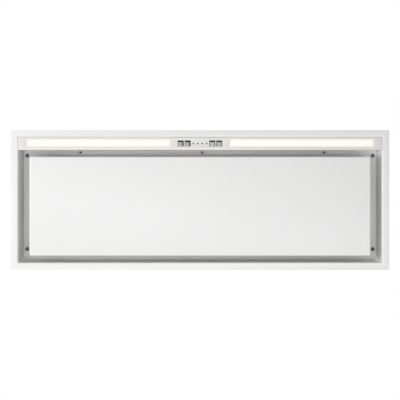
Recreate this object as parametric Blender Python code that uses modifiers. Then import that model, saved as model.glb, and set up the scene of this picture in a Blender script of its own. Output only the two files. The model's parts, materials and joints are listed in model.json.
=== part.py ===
"""Built-in perimeter-suction range hood: a white frame, a hinged suction panel and a blower box.

Axes: +X along the hood's length, -Y its front (the controls), +Z up into the cabinet.
Origin: centre of the flange's underside. Lengths are in metres.
"""

import math

import bmesh
import bpy
from mathutils import Matrix, Vector

MM = 0.001

# --- Frame and recess -------------------------------------------------------------------------
LENGTH = 900 * MM
WIDTH = 332 * MM
FLANGE_WIDTH = 16.5 * MM
FRAME_SHEET = 1.2 * MM
RECESS_DEPTH = 46 * MM
JOINT_GAP = 0.3 * MM

# --- Making: how far a joined solid sinks in, a cutter runs past, a hole's cutter reaches ------
MERGE = 0.5 * MM
CUT_PAST = 1 * MM
CUT_REACH = 3 * MM
ROUND_STEPS = 48

# --- Header strip with the lights and the controls --------------------------------------------
HEADER_WIDTH = 29.9 * MM
HEADER_SEAM = 0.7 * MM
HEADER_FOOT = 12 * MM
HEADER_LEDGE = 2.5 * MM
HEADER_SCREW_INSET = 134.5 * MM
HEADER_SCREW_OFFSET = 5 * MM
HEADER_SCREW_SETBACK = 5.4 * MM

# --- Lights -----------------------------------------------------------------------------------
CONTROL_ZONE = 141 * MM
LENS_END_MARGIN = 20.5 * MM
LENS_EDGE_MARGIN = 4 * MM
LENS_WIDTH = 19.7 * MM
LENS_RIM = 1.2 * MM
LENS_THICKNESS = 3.3 * MM
LENS_SINK = 0.2 * MM
LIGHT_TRAY_HEIGHT = 14 * MM
LIGHT_TRAY_SHEET = 0.8 * MM
LED_STRIP_WIDTH = 10 * MM
LED_STRIP_END_GAP = 4 * MM
LED_STRIP_THICKNESS = 1.6 * MM
LED_COUNT = 12
LED_SIZE = 5 * MM
LED_HEIGHT = 1.6 * MM

# --- Controls ---------------------------------------------------------------------------------
CONTROL_SETBACK = 14.3 * MM
BUTTON_SIZE = 13.5 * MM
BUTTON_GAP = 0.4 * MM
BUTTON_SKIRT = 1.15 * MM
BUTTON_SKIRT_SHEET = 1.5 * MM
BUTTON_FIRST = 29.4 * MM
BUTTON_PITCH = 16.5 * MM
BUTTON_SINK = 0.3 * MM
BUTTON_TRAVEL = 0.8 * MM
BUTTON_STEM_RADIUS = 2.2 * MM
DOT_FIRST = 5.3 * MM
DOT_PITCH = 10.7 * MM
DOT_RADIUS = 1.5 * MM
GUIDE_END = 2.5 * MM
GUIDE_WIDTH = 6 * MM
GUIDE_BAR = (4 * MM, 6.5 * MM)
BOARD_HEIGHT = 10 * MM
BOARD_THICKNESS = 1.6 * MM
BOARD_GAP = 1.2 * MM
SWITCH_SIZE = 6 * MM
SWITCH_HEIGHT = 3.7 * MM
DOT_LIGHT_SIZE = 2 * MM
DOT_LIGHT_HEIGHT = 1.2 * MM
COVER_HALF_LENGTH = 60 * MM
COVER_WIDTH = 23.7 * MM
COVER_HEIGHT = 16.5 * MM
COVER_WALL = 1.5 * MM
COVER_LIFT = 2.5 * MM

# --- Suction panel and its hinges -------------------------------------------------------------
PANEL_SIDE_SLOT = 27 * MM
PANEL_FRONT_SLOT = 15.7 * MM
PANEL_REAR_SLOT = 16.1 * MM
PANEL_HEIGHT = 14 * MM
PANEL_SINK = 0.6 * MM
PANEL_SHEET = 1.2 * MM
PANEL_ROUNDING = 4 * MM
PANEL_ROUNDING_STEPS = 3
BACKING_DEPTH = 0.5 * MM
HINGE_SETBACK = 28.5 * MM
HINGE_RISE = 7.4 * MM
HINGE_INSET = 24 * MM
HINGE_PLATE_LENGTH = 25 * MM
HINGE_SHEET = 2.4 * MM
HINGE_BASE_SHEET = 1.5 * MM
HINGE_EAR_RADIUS = 5 * MM
HINGE_ARM_REACH = 26 * MM
HINGE_BASE_FRONT = 7 * MM
HINGE_BASE_REAR = 9 * MM
HINGE_PIN_RADIUS = 2.5 * MM
PIN_HEAD_RADIUS = 4 * MM
PIN_HEAD_SHEET = 1.7 * MM
PIN_TAIL = 1.5 * MM
PIN_GAP = 0.12 * MM
CATCH_INSET = 76.5 * MM
CATCH_LENGTH = 16 * MM
CATCH_WIDTH = 12 * MM
CATCH_SETBACK = 5.2 * MM
STRIKE_RADIUS = 6 * MM
STRIKE_SHEET = 1.5 * MM

# --- Filters ----------------------------------------------------------------------------------
BAY_SIDE_MARGIN = 35.5 * MM
BAY_FRONT_MARGIN = 34.9 * MM
BAY_REAR_MARGIN = 37.5 * MM
BAY_HEIGHT = 11 * MM
BAY_LIP = 6 * MM
FILTER_GAP = 0.4 * MM
FILTER_RISE = 0.5 * MM
FILTER_THICKNESS = 10 * MM
FILTER_RAIL = 12 * MM
FILTER_LATCH_RAIL = 22 * MM
FILTER_GROOVE = 4 * MM
FILTER_LIP = 1.5 * MM
LATCH_WIDTH = 20 * MM
LATCH_LENGTH = 15 * MM
LATCH_REACH = 6 * MM
LATCH_THICKNESS = 2 * MM
LATCH_RISE = 3.5 * MM
LATCH_TRAVEL = 5.8 * MM
LATCH_PULL = 5 * MM
LATCH_PULL_DROP = 7 * MM

# --- Plenum and motor housing -----------------------------------------------------------------
CASING_SHEET = 1 * MM
PLENUM_INSET = 2.7 * MM
PLENUM_HEIGHT = 37.5 * MM
PLENUM_FOOT = 16 * MM
PLENUM_OPENING_LENGTH = 380 * MM
PLENUM_OPENING_WIDTH = 250 * MM
WALL_HOLE_RADIUS = 2.75 * MM
WALL_HOLE_SPACING = 200 * MM
HOUSING_LENGTH = 400 * MM
HOUSING_FOOT = 14 * MM
HOUSING_CLEARANCE = 3.5 * MM

# --- Blower -----------------------------------------------------------------------------------
WHEEL_RADIUS = 62 * MM
WHEEL_HALF_LENGTH = 60 * MM
WHEEL_BLADE_DEPTH = 12 * MM
WHEEL_BLADES = 24
WHEEL_SLOT = 11 * MM
WHEEL_DISC = 3 * MM
WHEEL_RING = 4 * MM
HUB_RADIUS = 9 * MM
HUB_LENGTH = 18 * MM
SHAFT_RADIUS = 4 * MM
SHAFT_TAIL = 40 * MM
SHAFT_NOSE = 4 * MM
SCROLL_WALL = 2 * MM
SCROLL_STEPS = 30
SCROLL_TONGUE_GAP = 6 * MM
SCROLL_GROWTH = 27 * MM
SCROLL_END_GAP = 5 * MM
SCROLL_TONGUE_SHIFT = 8 * MM
SCROLL_MOUTH_RISE = 92 * MM
SCROLL_MOUTH_LIP = 8 * MM
SCROLL_INLET_RADIUS = 48 * MM
SCROLL_FLOOR_GAP = 2 * MM
MOTOR_RADIUS = 38 * MM
MOTOR_NOSE_GAP = 4.5 * MM
BEARING_RADIUS = 11 * MM
BEARING_LENGTH = 7 * MM
BRACKET_REACH = 58 * MM
BRACKET_DISC_RADIUS = 23 * MM
BRACKET_ARM_WIDTH = 14 * MM
BRACKET_ARMS = 3
BRACKET_SHEET = 2.3 * MM

# --- Outlet -----------------------------------------------------------------------------------
DUCT_DIAMETER = 150 * MM
COLLAR_FIT = 0.4 * MM
COLLAR_WALL = 1.8 * MM
COLLAR_HEIGHT = 41 * MM
COLLAR_FOOT_WIDTH = 13.4 * MM
COLLAR_FOOT_SHEET = 2 * MM
FLAP_SEAT_WIDTH = 3.8 * MM
FLAP_SEAT_SHEET = 1.6 * MM
FLAP_HEIGHT = 16 * MM
FLAP_SHEET = 1.5 * MM
FLAP_RIM_GAP = 1.8 * MM
SPINDLE_RADIUS = 1.5 * MM
KNUCKLE_RADIUS = 3.2 * MM
KNUCKLE_SPANS = ((-50 * MM, -31 * MM), (11 * MM, 30 * MM))
FLAP_ROOT_GAP = 3.8 * MM

# --- Electronics ------------------------------------------------------------------------------
BOX_LENGTH = 160 * MM
BOX_WIDTH = 150 * MM
BOX_HEIGHT = 45 * MM
BOX_END_INSET = 32 * MM
BOX_MARGIN = 10 * MM
LID_SKIRT = 6 * MM
GLAND_RADIUS = 7.6 * MM
GLAND_BORE = 5 * MM
GLAND_HEAD_RADIUS = 11 * MM
GLAND_HEAD_LENGTH = 12 * MM
GLAND_NECK_LENGTH = 8 * MM
GLAND_OFFSET = 40 * MM
CAPACITOR_RADIUS = 14 * MM
CAPACITOR_LENGTH = 60 * MM
POWER_BOARD_GAP = 6 * MM
POWER_BOARD_WIDTH = 61 * MM
POWER_BOARD_LIFT = 5 * MM
BOARD_FOOT_RADIUS = 2 * MM
RELAY_SHARES = (0.15, 0.33, 0.51)
RELAY_WIDTH = 12 * MM
RELAY_HEIGHT = 15 * MM
TRANSFORMER_SHARE = 0.8
TRANSFORMER_WIDTH = 32 * MM
TRANSFORMER_HEIGHT = 24 * MM
TERMINAL_LENGTH = 35 * MM
TERMINAL_WIDTH = 45 * MM
TERMINAL_HEIGHT = 14 * MM
TERMINAL_POLES = 5
TERMINAL_WALL = 3 * MM
TERMINAL_FLOOR = 6 * MM

# --- Fasteners --------------------------------------------------------------------------------
CORNER_SCREW_WALL = 8.7 * MM
CORNER_SCREW_FRONT = 13.1 * MM
CORNER_SCREW_REAR = 25.5 * MM
CORNER_SCREW_HEAD = 4.7 * MM
CORNER_SCREW_SHANK = 2 * MM
CORNER_SCREW_LENGTH = 16 * MM
HEADER_SCREW_HEAD = 3 * MM
HEADER_SCREW_SHANK = 1.5 * MM
HEADER_SCREW_LENGTH = 10 * MM
SCREW_HEAD_HEIGHT = 2.3 * MM

# --- Derived planes ---------------------------------------------------------------------------
OPENING_X = LENGTH / 2 - FLANGE_WIDTH
OPENING_Y = WIDTH / 2 - FLANGE_WIDTH
HEADER_FRONT = -OPENING_Y + HEADER_SEAM
HEADER_REAR = HEADER_FRONT + HEADER_WIDTH
HEADER_X = OPENING_X - HEADER_SEAM
CONTROL_Y = HEADER_FRONT + CONTROL_SETBACK
LENS_INNER = CONTROL_ZONE / 2
LENS_OUTER = OPENING_X - LENS_END_MARGIN
LENS_FRONT = -OPENING_Y + LENS_EDGE_MARGIN
LENS_REAR = LENS_FRONT + LENS_WIDTH
TRAY_BOTTOM = RECESS_DEPTH
TRAY_TOP = TRAY_BOTTOM + FRAME_SHEET
PANEL_X = OPENING_X - PANEL_SIDE_SLOT
PANEL_FRONT = HEADER_REAR + PANEL_FRONT_SLOT
PANEL_REAR = OPENING_Y - PANEL_REAR_SLOT
PANEL_TOP = PANEL_SINK + PANEL_HEIGHT
HINGE_Y = OPENING_Y - HINGE_SETBACK
HINGE_Z = PANEL_TOP + HINGE_RISE
BAY_X = OPENING_X - BAY_SIDE_MARGIN
BAY_FRONT = HEADER_REAR + BAY_FRONT_MARGIN
BAY_REAR = OPENING_Y - BAY_REAR_MARGIN
FILTER_BOTTOM = TRAY_BOTTOM + FILTER_RISE
FILTER_TOP = FILTER_BOTTOM + FILTER_THICKNESS
LATCH_X = BAY_X / 2
LATCH_FRONT = BAY_FRONT - LATCH_REACH
LATCH_BOTTOM = FILTER_BOTTOM + LATCH_RISE
PLENUM_X = OPENING_X + FRAME_SHEET - PLENUM_INSET
PLENUM_Y = OPENING_Y + FRAME_SHEET - PLENUM_INSET
PLENUM_BOTTOM = TRAY_TOP + JOINT_GAP
PLENUM_TOP = PLENUM_BOTTOM + PLENUM_HEIGHT
HOUSING_BOTTOM = PLENUM_TOP + JOINT_GAP
SCROLL_START = WHEEL_RADIUS + SCROLL_TONGUE_GAP + SCROLL_WALL
SCROLL_END = SCROLL_START + SCROLL_GROWTH
SCROLL_X = WHEEL_HALF_LENGTH + SCROLL_END_GAP + SCROLL_WALL
FAN_Y = -(SCROLL_TONGUE_SHIFT + SCROLL_END) / 2
FAN_Z = HOUSING_BOTTOM + SCROLL_FLOOR_GAP + SCROLL_START + SCROLL_GROWTH * 2 / 3
MOUTH_TOP = FAN_Z + SCROLL_MOUTH_RISE
HOUSING_Y = -FAN_Y + SCROLL_START + SCROLL_GROWTH / 3 + HOUSING_CLEARANCE
HOUSING_TOP = MOUTH_TOP + JOINT_GAP + CASING_SHEET
COLLAR_BOTTOM = HOUSING_TOP + JOINT_GAP
COLLAR_RADIUS = DUCT_DIAMETER / 2 - COLLAR_FIT
COLLAR_INNER = COLLAR_RADIUS - COLLAR_WALL
COLLAR_FOOT_RADIUS = COLLAR_RADIUS + COLLAR_FOOT_WIDTH
SPINDLE_Z = COLLAR_BOTTOM + FLAP_HEIGHT
BOX_X = PLENUM_X - BOX_END_INSET - BOX_LENGTH / 2
BOX_BOTTOM = PLENUM_TOP + JOINT_GAP
BOX_TOP = BOX_BOTTOM + BOX_HEIGHT
CORNER_SCREW_X = OPENING_X - CORNER_SCREW_WALL
CORNER_SCREW_YS = {
    "front": HEADER_REAR + CORNER_SCREW_FRONT,
    "rear": OPENING_Y - CORNER_SCREW_REAR,
}
HEADER_SCREW_Y = HEADER_REAR + HEADER_SCREW_SETBACK
SIDES = {"left": -1, "right": 1}

# --- Finishes: colour, roughness, metallic ----------------------------------------------------
FINISHES = {
    "white_lacquer": ((0.90, 0.90, 0.89), 0.35, 0.0),
    "galvanised_steel": ((0.62, 0.64, 0.66), 0.45, 0.9),
    "steel": ((0.55, 0.56, 0.58), 0.35, 1.0),
    "aluminium": ((0.80, 0.81, 0.82), 0.35, 1.0),
    "lens_acrylic": ((1.0, 0.98, 0.92), 0.4, 0.0),
    "indicator_plastic": ((0.35, 0.36, 0.38), 0.25, 0.0),
    "white_plastic": ((0.86, 0.86, 0.85), 0.45, 0.0),
    "grey_button": ((0.80, 0.81, 0.82), 0.35, 0.0),
    "black_plastic": ((0.04, 0.04, 0.04), 0.5, 0.0),
    "circuit_board": ((0.05, 0.25, 0.12), 0.5, 0.0),
    "screw_steel": ((0.25, 0.26, 0.28), 0.35, 1.0),
}


def clear_scene():
    """Removes what a new file starts with, and returns the model's and the cutters' collections."""
    for obj in list(bpy.data.objects):
        bpy.data.objects.remove(obj)
    made = []
    for name in ("Perimeter suction hood", "Cutters"):
        collection = bpy.data.collections.new(name)
        bpy.context.scene.collection.children.link(collection)
        made.append(collection)
    return made


MODEL, CUTTERS = clear_scene()


def finish_material(name):
    """The Principled material of a finish, made the first time it is asked for."""
    material = bpy.data.materials.get(name)
    if material is None:
        colour, roughness, metallic = FINISHES[name]
        material = bpy.data.materials.new(name)
        material.use_nodes = True
        shader = material.node_tree.nodes["Principled BSDF"]
        shader.inputs["Base Color"].default_value = (*colour, 1)
        shader.inputs["Roughness"].default_value = roughness
        shader.inputs["Metallic"].default_value = metallic
    return material


# --- Solids: each of these returns a bmesh ----------------------------------------------------
def box(x, y, z):
    """A block between two values on each axis."""
    low = Vector((x[0], y[0], z[0]))
    high = Vector((x[1], y[1], z[1]))
    size = Matrix.Diagonal((*(high - low), 1))
    bm = bmesh.new()
    bmesh.ops.create_cube(bm, size=1, matrix=Matrix.Translation((low + high) / 2) @ size)
    return bm


def rod(axis, at, span, radius, segments=32):
    """A cylinder along X, Y or Z: at is its centre on the other two axes, span its two ends."""
    middle = (span[0] + span[1]) / 2
    place = {
        "X": Matrix.Translation((middle, *at)) @ Matrix.Rotation(math.pi / 2, 4, "Y"),
        "Y": Matrix.Translation((at[0], middle, at[1])) @ Matrix.Rotation(math.pi / 2, 4, "X"),
        "Z": Matrix.Translation((*at, middle)),
    }[axis]
    bm = bmesh.new()
    bmesh.ops.create_cone(
        bm,
        cap_ends=True,
        segments=segments,
        radius1=radius,
        radius2=radius,
        depth=span[1] - span[0],
        matrix=place,
    )
    return bm


def sheet_through(rectangles, closed=False):
    """An open sheet that runs from rectangle to rectangle, each ((x0, x1), (y0, y1), z)."""
    bm = bmesh.new()
    (x, y, z), *others = rectangles
    outline = ((x[0], y[0]), (x[1], y[0]), (x[1], y[1]), (x[0], y[1]))
    corners = [bm.verts.new((*point, z)) for point in outline]
    edges = [bm.edges.new((corners[i - 1], corners[i])) for i in range(4)]
    for next_x, next_y, next_z in others:
        made = bmesh.ops.extrude_edge_only(bm, edges=edges)["geom"]
        moved = {v for v in made if isinstance(v, bmesh.types.BMVert)}
        edges = [e for e in made if isinstance(e, bmesh.types.BMEdge) and set(e.verts) <= moved]
        for vert in moved:
            vert.co = (next_x[vert.co.x > sum(x) / 2], next_y[vert.co.y > sum(y) / 2], next_z)
        x, y = next_x, next_y
    if closed:
        bmesh.ops.contextual_create(bm, geom=edges)
    bmesh.ops.recalc_face_normals(bm, faces=bm.faces)
    return bm


def folded_strip(profile, x):
    """An open sheet of constant section: profile holds its (y, z) points, x its two ends."""
    bm = bmesh.new()
    verts = [bm.verts.new((x[0], y, z)) for y, z in profile]
    edges = [bm.edges.new(pair) for pair in zip(verts, verts[1:])]
    grown = bmesh.ops.extrude_edge_only(bm, edges=edges)["geom"]
    moved = [v for v in grown if isinstance(v, bmesh.types.BMVert)]
    bmesh.ops.translate(bm, verts=moved, vec=(x[1] - x[0], 0, 0))
    return bm


# --- Objects ----------------------------------------------------------------------------------
def to_object(name, bm, collection, origin=(0, 0, 0)):
    """Turns a bmesh into an object whose origin is at the given point."""
    bmesh.ops.translate(bm, verts=bm.verts, vec=-Vector(origin))
    mesh = bpy.data.meshes.new(name)
    bm.to_mesh(mesh)
    bm.free()
    obj = bpy.data.objects.new(name, mesh)
    obj.location = origin
    collection.objects.link(obj)
    return obj


def piece(name, finish, bm, origin=(0, 0, 0)):
    """A sub-part of the hood."""
    obj = to_object(name, bm, MODEL, origin)
    obj.data.materials.append(finish_material(finish))
    return obj


def sheet_piece(name, finish, bm, thickness):
    """A sub-part of sheet, whose open surface is the middle of its thickness."""
    obj = piece(name, finish, bm)
    solidify = obj.modifiers.new("Sheet", "SOLIDIFY")
    solidify.thickness = thickness
    solidify.offset = 0
    solidify.solidify_mode = "NON_MANIFOLD"
    solidify.nonmanifold_thickness_mode = "CONSTRAINTS"
    solidify.nonmanifold_merge_threshold = 0.00001
    return obj


def combine(obj, operation, solids):
    """Adds solids to an object, or cuts them from it, one Boolean modifier each."""
    for bm in solids:
        tool = to_object(f"{obj.name}_{operation.lower()}", bm, CUTTERS)
        tool.hide_render = True
        tool.display_type = "WIRE"
        boolean = obj.modifiers.new(operation.title(), "BOOLEAN")
        boolean.operation = operation
        boolean.solver = "EXACT"
        boolean.object = tool
    return obj


def join(obj, *solids):
    """Adds solids to an object."""
    return combine(obj, "UNION", solids)


def cut(obj, *solids):
    """Cuts solids from an object."""
    return combine(obj, "DIFFERENCE", solids)


def smooth(obj, angle=35):
    """Shades an object's round faces smooth."""
    obj.data.shade_smooth()
    obj.data.set_sharp_from_angle(angle=math.radians(angle))
    return obj


def span(centre, size):
    """The two ends of a size about its centre."""
    return (centre - size / 2, centre + size / 2)


def grown(ends, by):
    """A span made longer by the same amount at each end, or shorter by a negative one."""
    return (ends[0] - by, ends[1] + by)


def mirrored(ends, side):
    """A span on +X, or its mirror image on -X, low end first."""
    return tuple(sorted((ends[0] * side, ends[1] * side)))


# --- Frame, tray and header -------------------------------------------------------------------
def build_frame():
    """The lacquered flange with the recess's four walls and the ledge that the header hooks on."""
    half = FRAME_SHEET / 2
    wall_x = (-OPENING_X - half, OPENING_X + half)
    wall_y = (-OPENING_Y - half, OPENING_Y + half)
    wall_top = TRAY_BOTTOM - JOINT_GAP
    rectangles = [
        ((-LENGTH / 2, LENGTH / 2), (-WIDTH / 2, WIDTH / 2), half),
        (wall_x, wall_y, half),
        (wall_x, wall_y, wall_top),
    ]
    frame = sheet_piece("outer_frame", "white_lacquer", sheet_through(rectangles), FRAME_SHEET)
    ledge_bottom = FRAME_SHEET + JOINT_GAP
    join(
        frame,
        box(
            (-HEADER_X, HEADER_X),
            (-OPENING_Y - half, -OPENING_Y + HEADER_LEDGE),
            (ledge_bottom, ledge_bottom + FRAME_SHEET),
        ),
    )


def header_screw_xs():
    """The X of each of the header's three screws."""
    pitch = OPENING_X - HEADER_SCREW_INSET
    return [HEADER_SCREW_OFFSET + step * pitch for step in (-1, 0, 1)]


def build_tray():
    """The recess's ceiling: a sheet with the filters' bay, its rim and its stop lip."""
    half = FRAME_SHEET / 2
    bay_x = (-BAY_X - half, BAY_X + half)
    bay_y = (BAY_FRONT - half, BAY_REAR + half)
    low = TRAY_BOTTOM + half
    high = low + BAY_HEIGHT
    edge_x = OPENING_X + FRAME_SHEET
    edge_y = OPENING_Y + FRAME_SHEET
    rectangles = [
        ((-edge_x, edge_x), (-edge_y, edge_y), low),
        (bay_x, bay_y, low),
        (bay_x, bay_y, high),
        (grown(bay_x, -BAY_LIP), grown(bay_y, -BAY_LIP), high),
    ]
    tray = sheet_piece("recess_tray", "white_lacquer", sheet_through(rectangles), FRAME_SHEET)
    through = (TRAY_BOTTOM - CUT_PAST, TRAY_TOP + CUT_PAST)
    for side in SIDES.values():
        for y in CORNER_SCREW_YS.values():
            at = (side * CORNER_SCREW_X, y)
            cut(tray, rod("Z", at, through, CORNER_SCREW_SHANK + JOINT_GAP, 16))
        slot_z = grown((LATCH_BOTTOM, LATCH_BOTTOM + LATCH_THICKNESS), JOINT_GAP)
        slot_y = span(BAY_FRONT - half, 3 * FRAME_SHEET)
        slot_x = grown(span(side * LATCH_X, LATCH_WIDTH), JOINT_GAP)
        cut(tray, box(slot_x, slot_y, slot_z))
    for x in header_screw_xs():
        at = (x, HEADER_SCREW_Y)
        cut(tray, rod("Z", at, through, HEADER_SCREW_SHANK + JOINT_GAP, 12))


def button_xs():
    """The X of each button, by its name, from left to right."""
    outer = BUTTON_FIRST + BUTTON_PITCH
    names = ("button_light", "button_power", "button_slower", "button_faster")
    return dict(zip(names, (-outer, -BUTTON_FIRST, BUTTON_FIRST, outer)))


def dot_xs():
    """The X of each indicator dot, from left to right."""
    outer = DOT_FIRST + DOT_PITCH
    return (-outer, -DOT_FIRST, DOT_FIRST, outer)


def build_header():
    """The strip along the front: a flush face, a leg up to the tray and a screwed foot."""
    half = FRAME_SHEET / 2
    leg_y = HEADER_REAR - half
    foot_z = TRAY_BOTTOM - JOINT_GAP - half
    profile = [
        (HEADER_FRONT, half),
        (leg_y, half),
        (leg_y, foot_z),
        (HEADER_REAR + HEADER_FOOT, foot_z),
    ]
    header = sheet_piece(
        "header_strip", "white_lacquer", folded_strip(profile, (-HEADER_X, HEADER_X)), FRAME_SHEET
    )
    face = (-CUT_PAST, FRAME_SHEET + CUT_PAST)
    for side in SIDES.values():
        cut(header, box(mirrored((LENS_INNER, LENS_OUTER), side), (LENS_FRONT, LENS_REAR), face))
    opening = BUTTON_SIZE + 2 * BUTTON_GAP
    for x in button_xs().values():
        cut(header, box(span(x, opening), span(CONTROL_Y, opening), face))
    for x in dot_xs():
        cut(header, rod("Z", (x, CONTROL_Y), face, DOT_RADIUS + JOINT_GAP, 20))
    foot = (foot_z - CUT_REACH, foot_z + CUT_REACH)
    for x in header_screw_xs():
        cut(header, rod("Z", (x, HEADER_SCREW_Y), foot, HEADER_SCREW_SHANK + JOINT_GAP, 12))
    notch_x = (CORNER_SCREW_X - 2 * CORNER_SCREW_HEAD, LENGTH / 2)
    notch_y = (HEADER_REAR, HEADER_REAR + 2 * HEADER_FOOT)
    for side in SIDES.values():
        cut(header, box(mirrored(notch_x, side), notch_y, foot))


def build_screws():
    """Pan-head screws: four that hold the tray to the plenum, three that hold the header."""
    head_top = TRAY_BOTTOM - JOINT_GAP
    for side_name, side in SIDES.items():
        for end_name, y in CORNER_SCREW_YS.items():
            at = (side * CORNER_SCREW_X, y)
            head = rod("Z", at, (head_top - SCREW_HEAD_HEIGHT, head_top), CORNER_SCREW_HEAD, 24)
            shank = (head_top - MERGE, head_top + CORNER_SCREW_LENGTH)
            screw = piece(f"corner_screw_{end_name}_{side_name}", "screw_steel", head)
            join(screw, rod("Z", at, shank, CORNER_SCREW_SHANK, 12))
    head_top -= FRAME_SHEET + JOINT_GAP
    for name, x in zip(("left", "middle", "right"), header_screw_xs()):
        at = (x, HEADER_SCREW_Y)
        head = rod("Z", at, (head_top - SCREW_HEAD_HEIGHT, head_top), HEADER_SCREW_HEAD, 20)
        shank = (head_top - MERGE, head_top + HEADER_SCREW_LENGTH)
        screw = piece(f"header_screw_{name}", "screw_steel", head)
        join(screw, rod("Z", at, shank, HEADER_SCREW_SHANK, 10))


# --- Lights -----------------------------------------------------------------------------------
def led_bar(x, y, z):
    """A strip with a raised row of light sources on its underside."""
    outline = [(x[0], z[1]), (x[0], z[0])]
    pitch = (x[1] - x[0]) / LED_COUNT
    for step in range(LED_COUNT):
        centre = x[0] + (step + 0.5) * pitch
        left, right = span(centre, LED_SIZE)
        low = z[0] - LED_HEIGHT
        outline += [(left, z[0]), (left, low), (right, low), (right, z[0])]
    outline += [(x[1], z[0]), (x[1], z[1])]
    bm = bmesh.new()
    verts = [bm.verts.new((px, y[0], pz)) for px, pz in outline]
    face = bmesh.ops.contextual_create(bm, geom=verts)
    thick = bmesh.ops.extrude_face_region(bm, geom=face["faces"])["geom"]
    moved = [v for v in thick if isinstance(v, bmesh.types.BMVert)]
    bmesh.ops.translate(bm, verts=moved, vec=(0, y[1] - y[0], 0))
    bmesh.ops.recalc_face_normals(bm, faces=bm.faces)
    return bm


def build_lights():
    """On each side: a lens set in the header, a reflector channel over it and its light strip."""
    lens_y = grown((LENS_FRONT, LENS_REAR), -JOINT_GAP)
    rim_y = grown((LENS_FRONT, LENS_REAR), LENS_RIM)
    rim_bottom = FRAME_SHEET + JOINT_GAP
    rim_top = rim_bottom + LENS_THICKNESS - FRAME_SHEET
    tray_bottom = rim_top + JOINT_GAP
    tray_top = tray_bottom + LIGHT_TRAY_HEIGHT
    half = LIGHT_TRAY_SHEET / 2
    for name, side in SIDES.items():
        window_x = mirrored((LENS_INNER, LENS_OUTER), side)
        rim_x = grown(window_x, LENS_RIM)
        rim = box(rim_x, rim_y, (rim_bottom, rim_top))
        lens = piece(f"light_lens_{name}", "lens_acrylic", rim)
        pane_z = (LENS_SINK, rim_bottom + MERGE)
        join(lens, box(grown(window_x, -JOINT_GAP), lens_y, pane_z))
        tray_x = grown(rim_x, -half)
        tray_y = grown(rim_y, -half)
        channel = [(tray_x, tray_y, tray_bottom), (tray_x, tray_y, tray_top - half)]
        sheet = sheet_through(channel, closed=True)
        sheet_piece(f"light_tray_{name}", "aluminium", sheet, LIGHT_TRAY_SHEET)
        strip_top = tray_top - LIGHT_TRAY_SHEET - JOINT_GAP
        strip = led_bar(
            grown(tray_x, -LED_STRIP_END_GAP),
            span((LENS_FRONT + LENS_REAR) / 2, LED_STRIP_WIDTH),
            (strip_top - LED_STRIP_THICKNESS, strip_top),
        )
        piece(f"led_strip_{name}", "circuit_board", strip)


# --- Controls ---------------------------------------------------------------------------------
def build_buttons():
    """Four push buttons: a square cap, a skirt that keeps it in the header, and a stem."""
    skirt_bottom = FRAME_SHEET + JOINT_GAP
    skirt_top = skirt_bottom + BUTTON_SKIRT_SHEET
    stem_top = BOARD_HEIGHT - SWITCH_HEIGHT - JOINT_GAP - BUTTON_TRAVEL
    for name, x in button_xs().items():
        origin = (x, CONTROL_Y, BUTTON_SINK)
        cap_z = (BUTTON_SINK, skirt_top - MERGE)
        cap = box(span(x, BUTTON_SIZE), span(CONTROL_Y, BUTTON_SIZE), cap_z)
        button = piece(name, "grey_button", cap, origin)
        skirt = BUTTON_SIZE + 2 * BUTTON_SKIRT
        join(
            button,
            box(span(x, skirt), span(CONTROL_Y, skirt), (skirt_bottom, skirt_top)),
            rod("Z", (x, CONTROL_Y), (skirt_top - MERGE, stem_top), BUTTON_STEM_RADIUS, 16),
        )


def build_light_guide():
    """The clear moulding that shows as four dots: a bar with a pin for each."""
    outer = dot_xs()[-1] + GUIDE_END
    bar = box((-outer, outer), span(CONTROL_Y, GUIDE_WIDTH), GUIDE_BAR)
    guide = piece("indicator_light_guide", "indicator_plastic", bar)
    for x in dot_xs():
        pin = (BUTTON_SINK, GUIDE_BAR[0] + MERGE)
        join(guide, rod("Z", (x, CONTROL_Y), pin, DOT_RADIUS, 20))


def build_control_board():
    """The circuit board over the buttons, with a switch for each and a light for each dot."""
    wall = COVER_WALL + BOARD_GAP
    board_x = grown((-COVER_HALF_LENGTH, COVER_HALF_LENGTH), -wall)
    board_y = grown(span(cover_y(), COVER_WIDTH), -wall)
    board_z = (BOARD_HEIGHT, BOARD_HEIGHT + BOARD_THICKNESS)
    board = piece("control_board", "circuit_board", box(board_x, board_y, board_z))
    switch_z = (BOARD_HEIGHT - SWITCH_HEIGHT, BOARD_HEIGHT + MERGE)
    light_z = (BOARD_HEIGHT - DOT_LIGHT_HEIGHT, BOARD_HEIGHT + MERGE)
    for x in button_xs().values():
        join(board, box(span(x, SWITCH_SIZE), span(CONTROL_Y, SWITCH_SIZE), switch_z))
    for x in dot_xs():
        join(board, box(span(x, DOT_LIGHT_SIZE), span(CONTROL_Y, DOT_LIGHT_SIZE), light_z))


def cover_y():
    """The middle of the control cover, which shares its middle with the lenses."""
    return (LENS_FRONT + LENS_REAR) / 2


def build_control_cover():
    """The plastic cover over the control board."""
    half = COVER_WALL / 2
    x = grown((-COVER_HALF_LENGTH, COVER_HALF_LENGTH), -half)
    y = grown(span(cover_y(), COVER_WIDTH), -half)
    low = FRAME_SHEET + COVER_LIFT
    top = low + COVER_HEIGHT - half
    sheet = sheet_through([(x, y, low), (x, y, top)], closed=True)
    sheet_piece("control_cover", "black_plastic", sheet, COVER_WALL)


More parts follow.
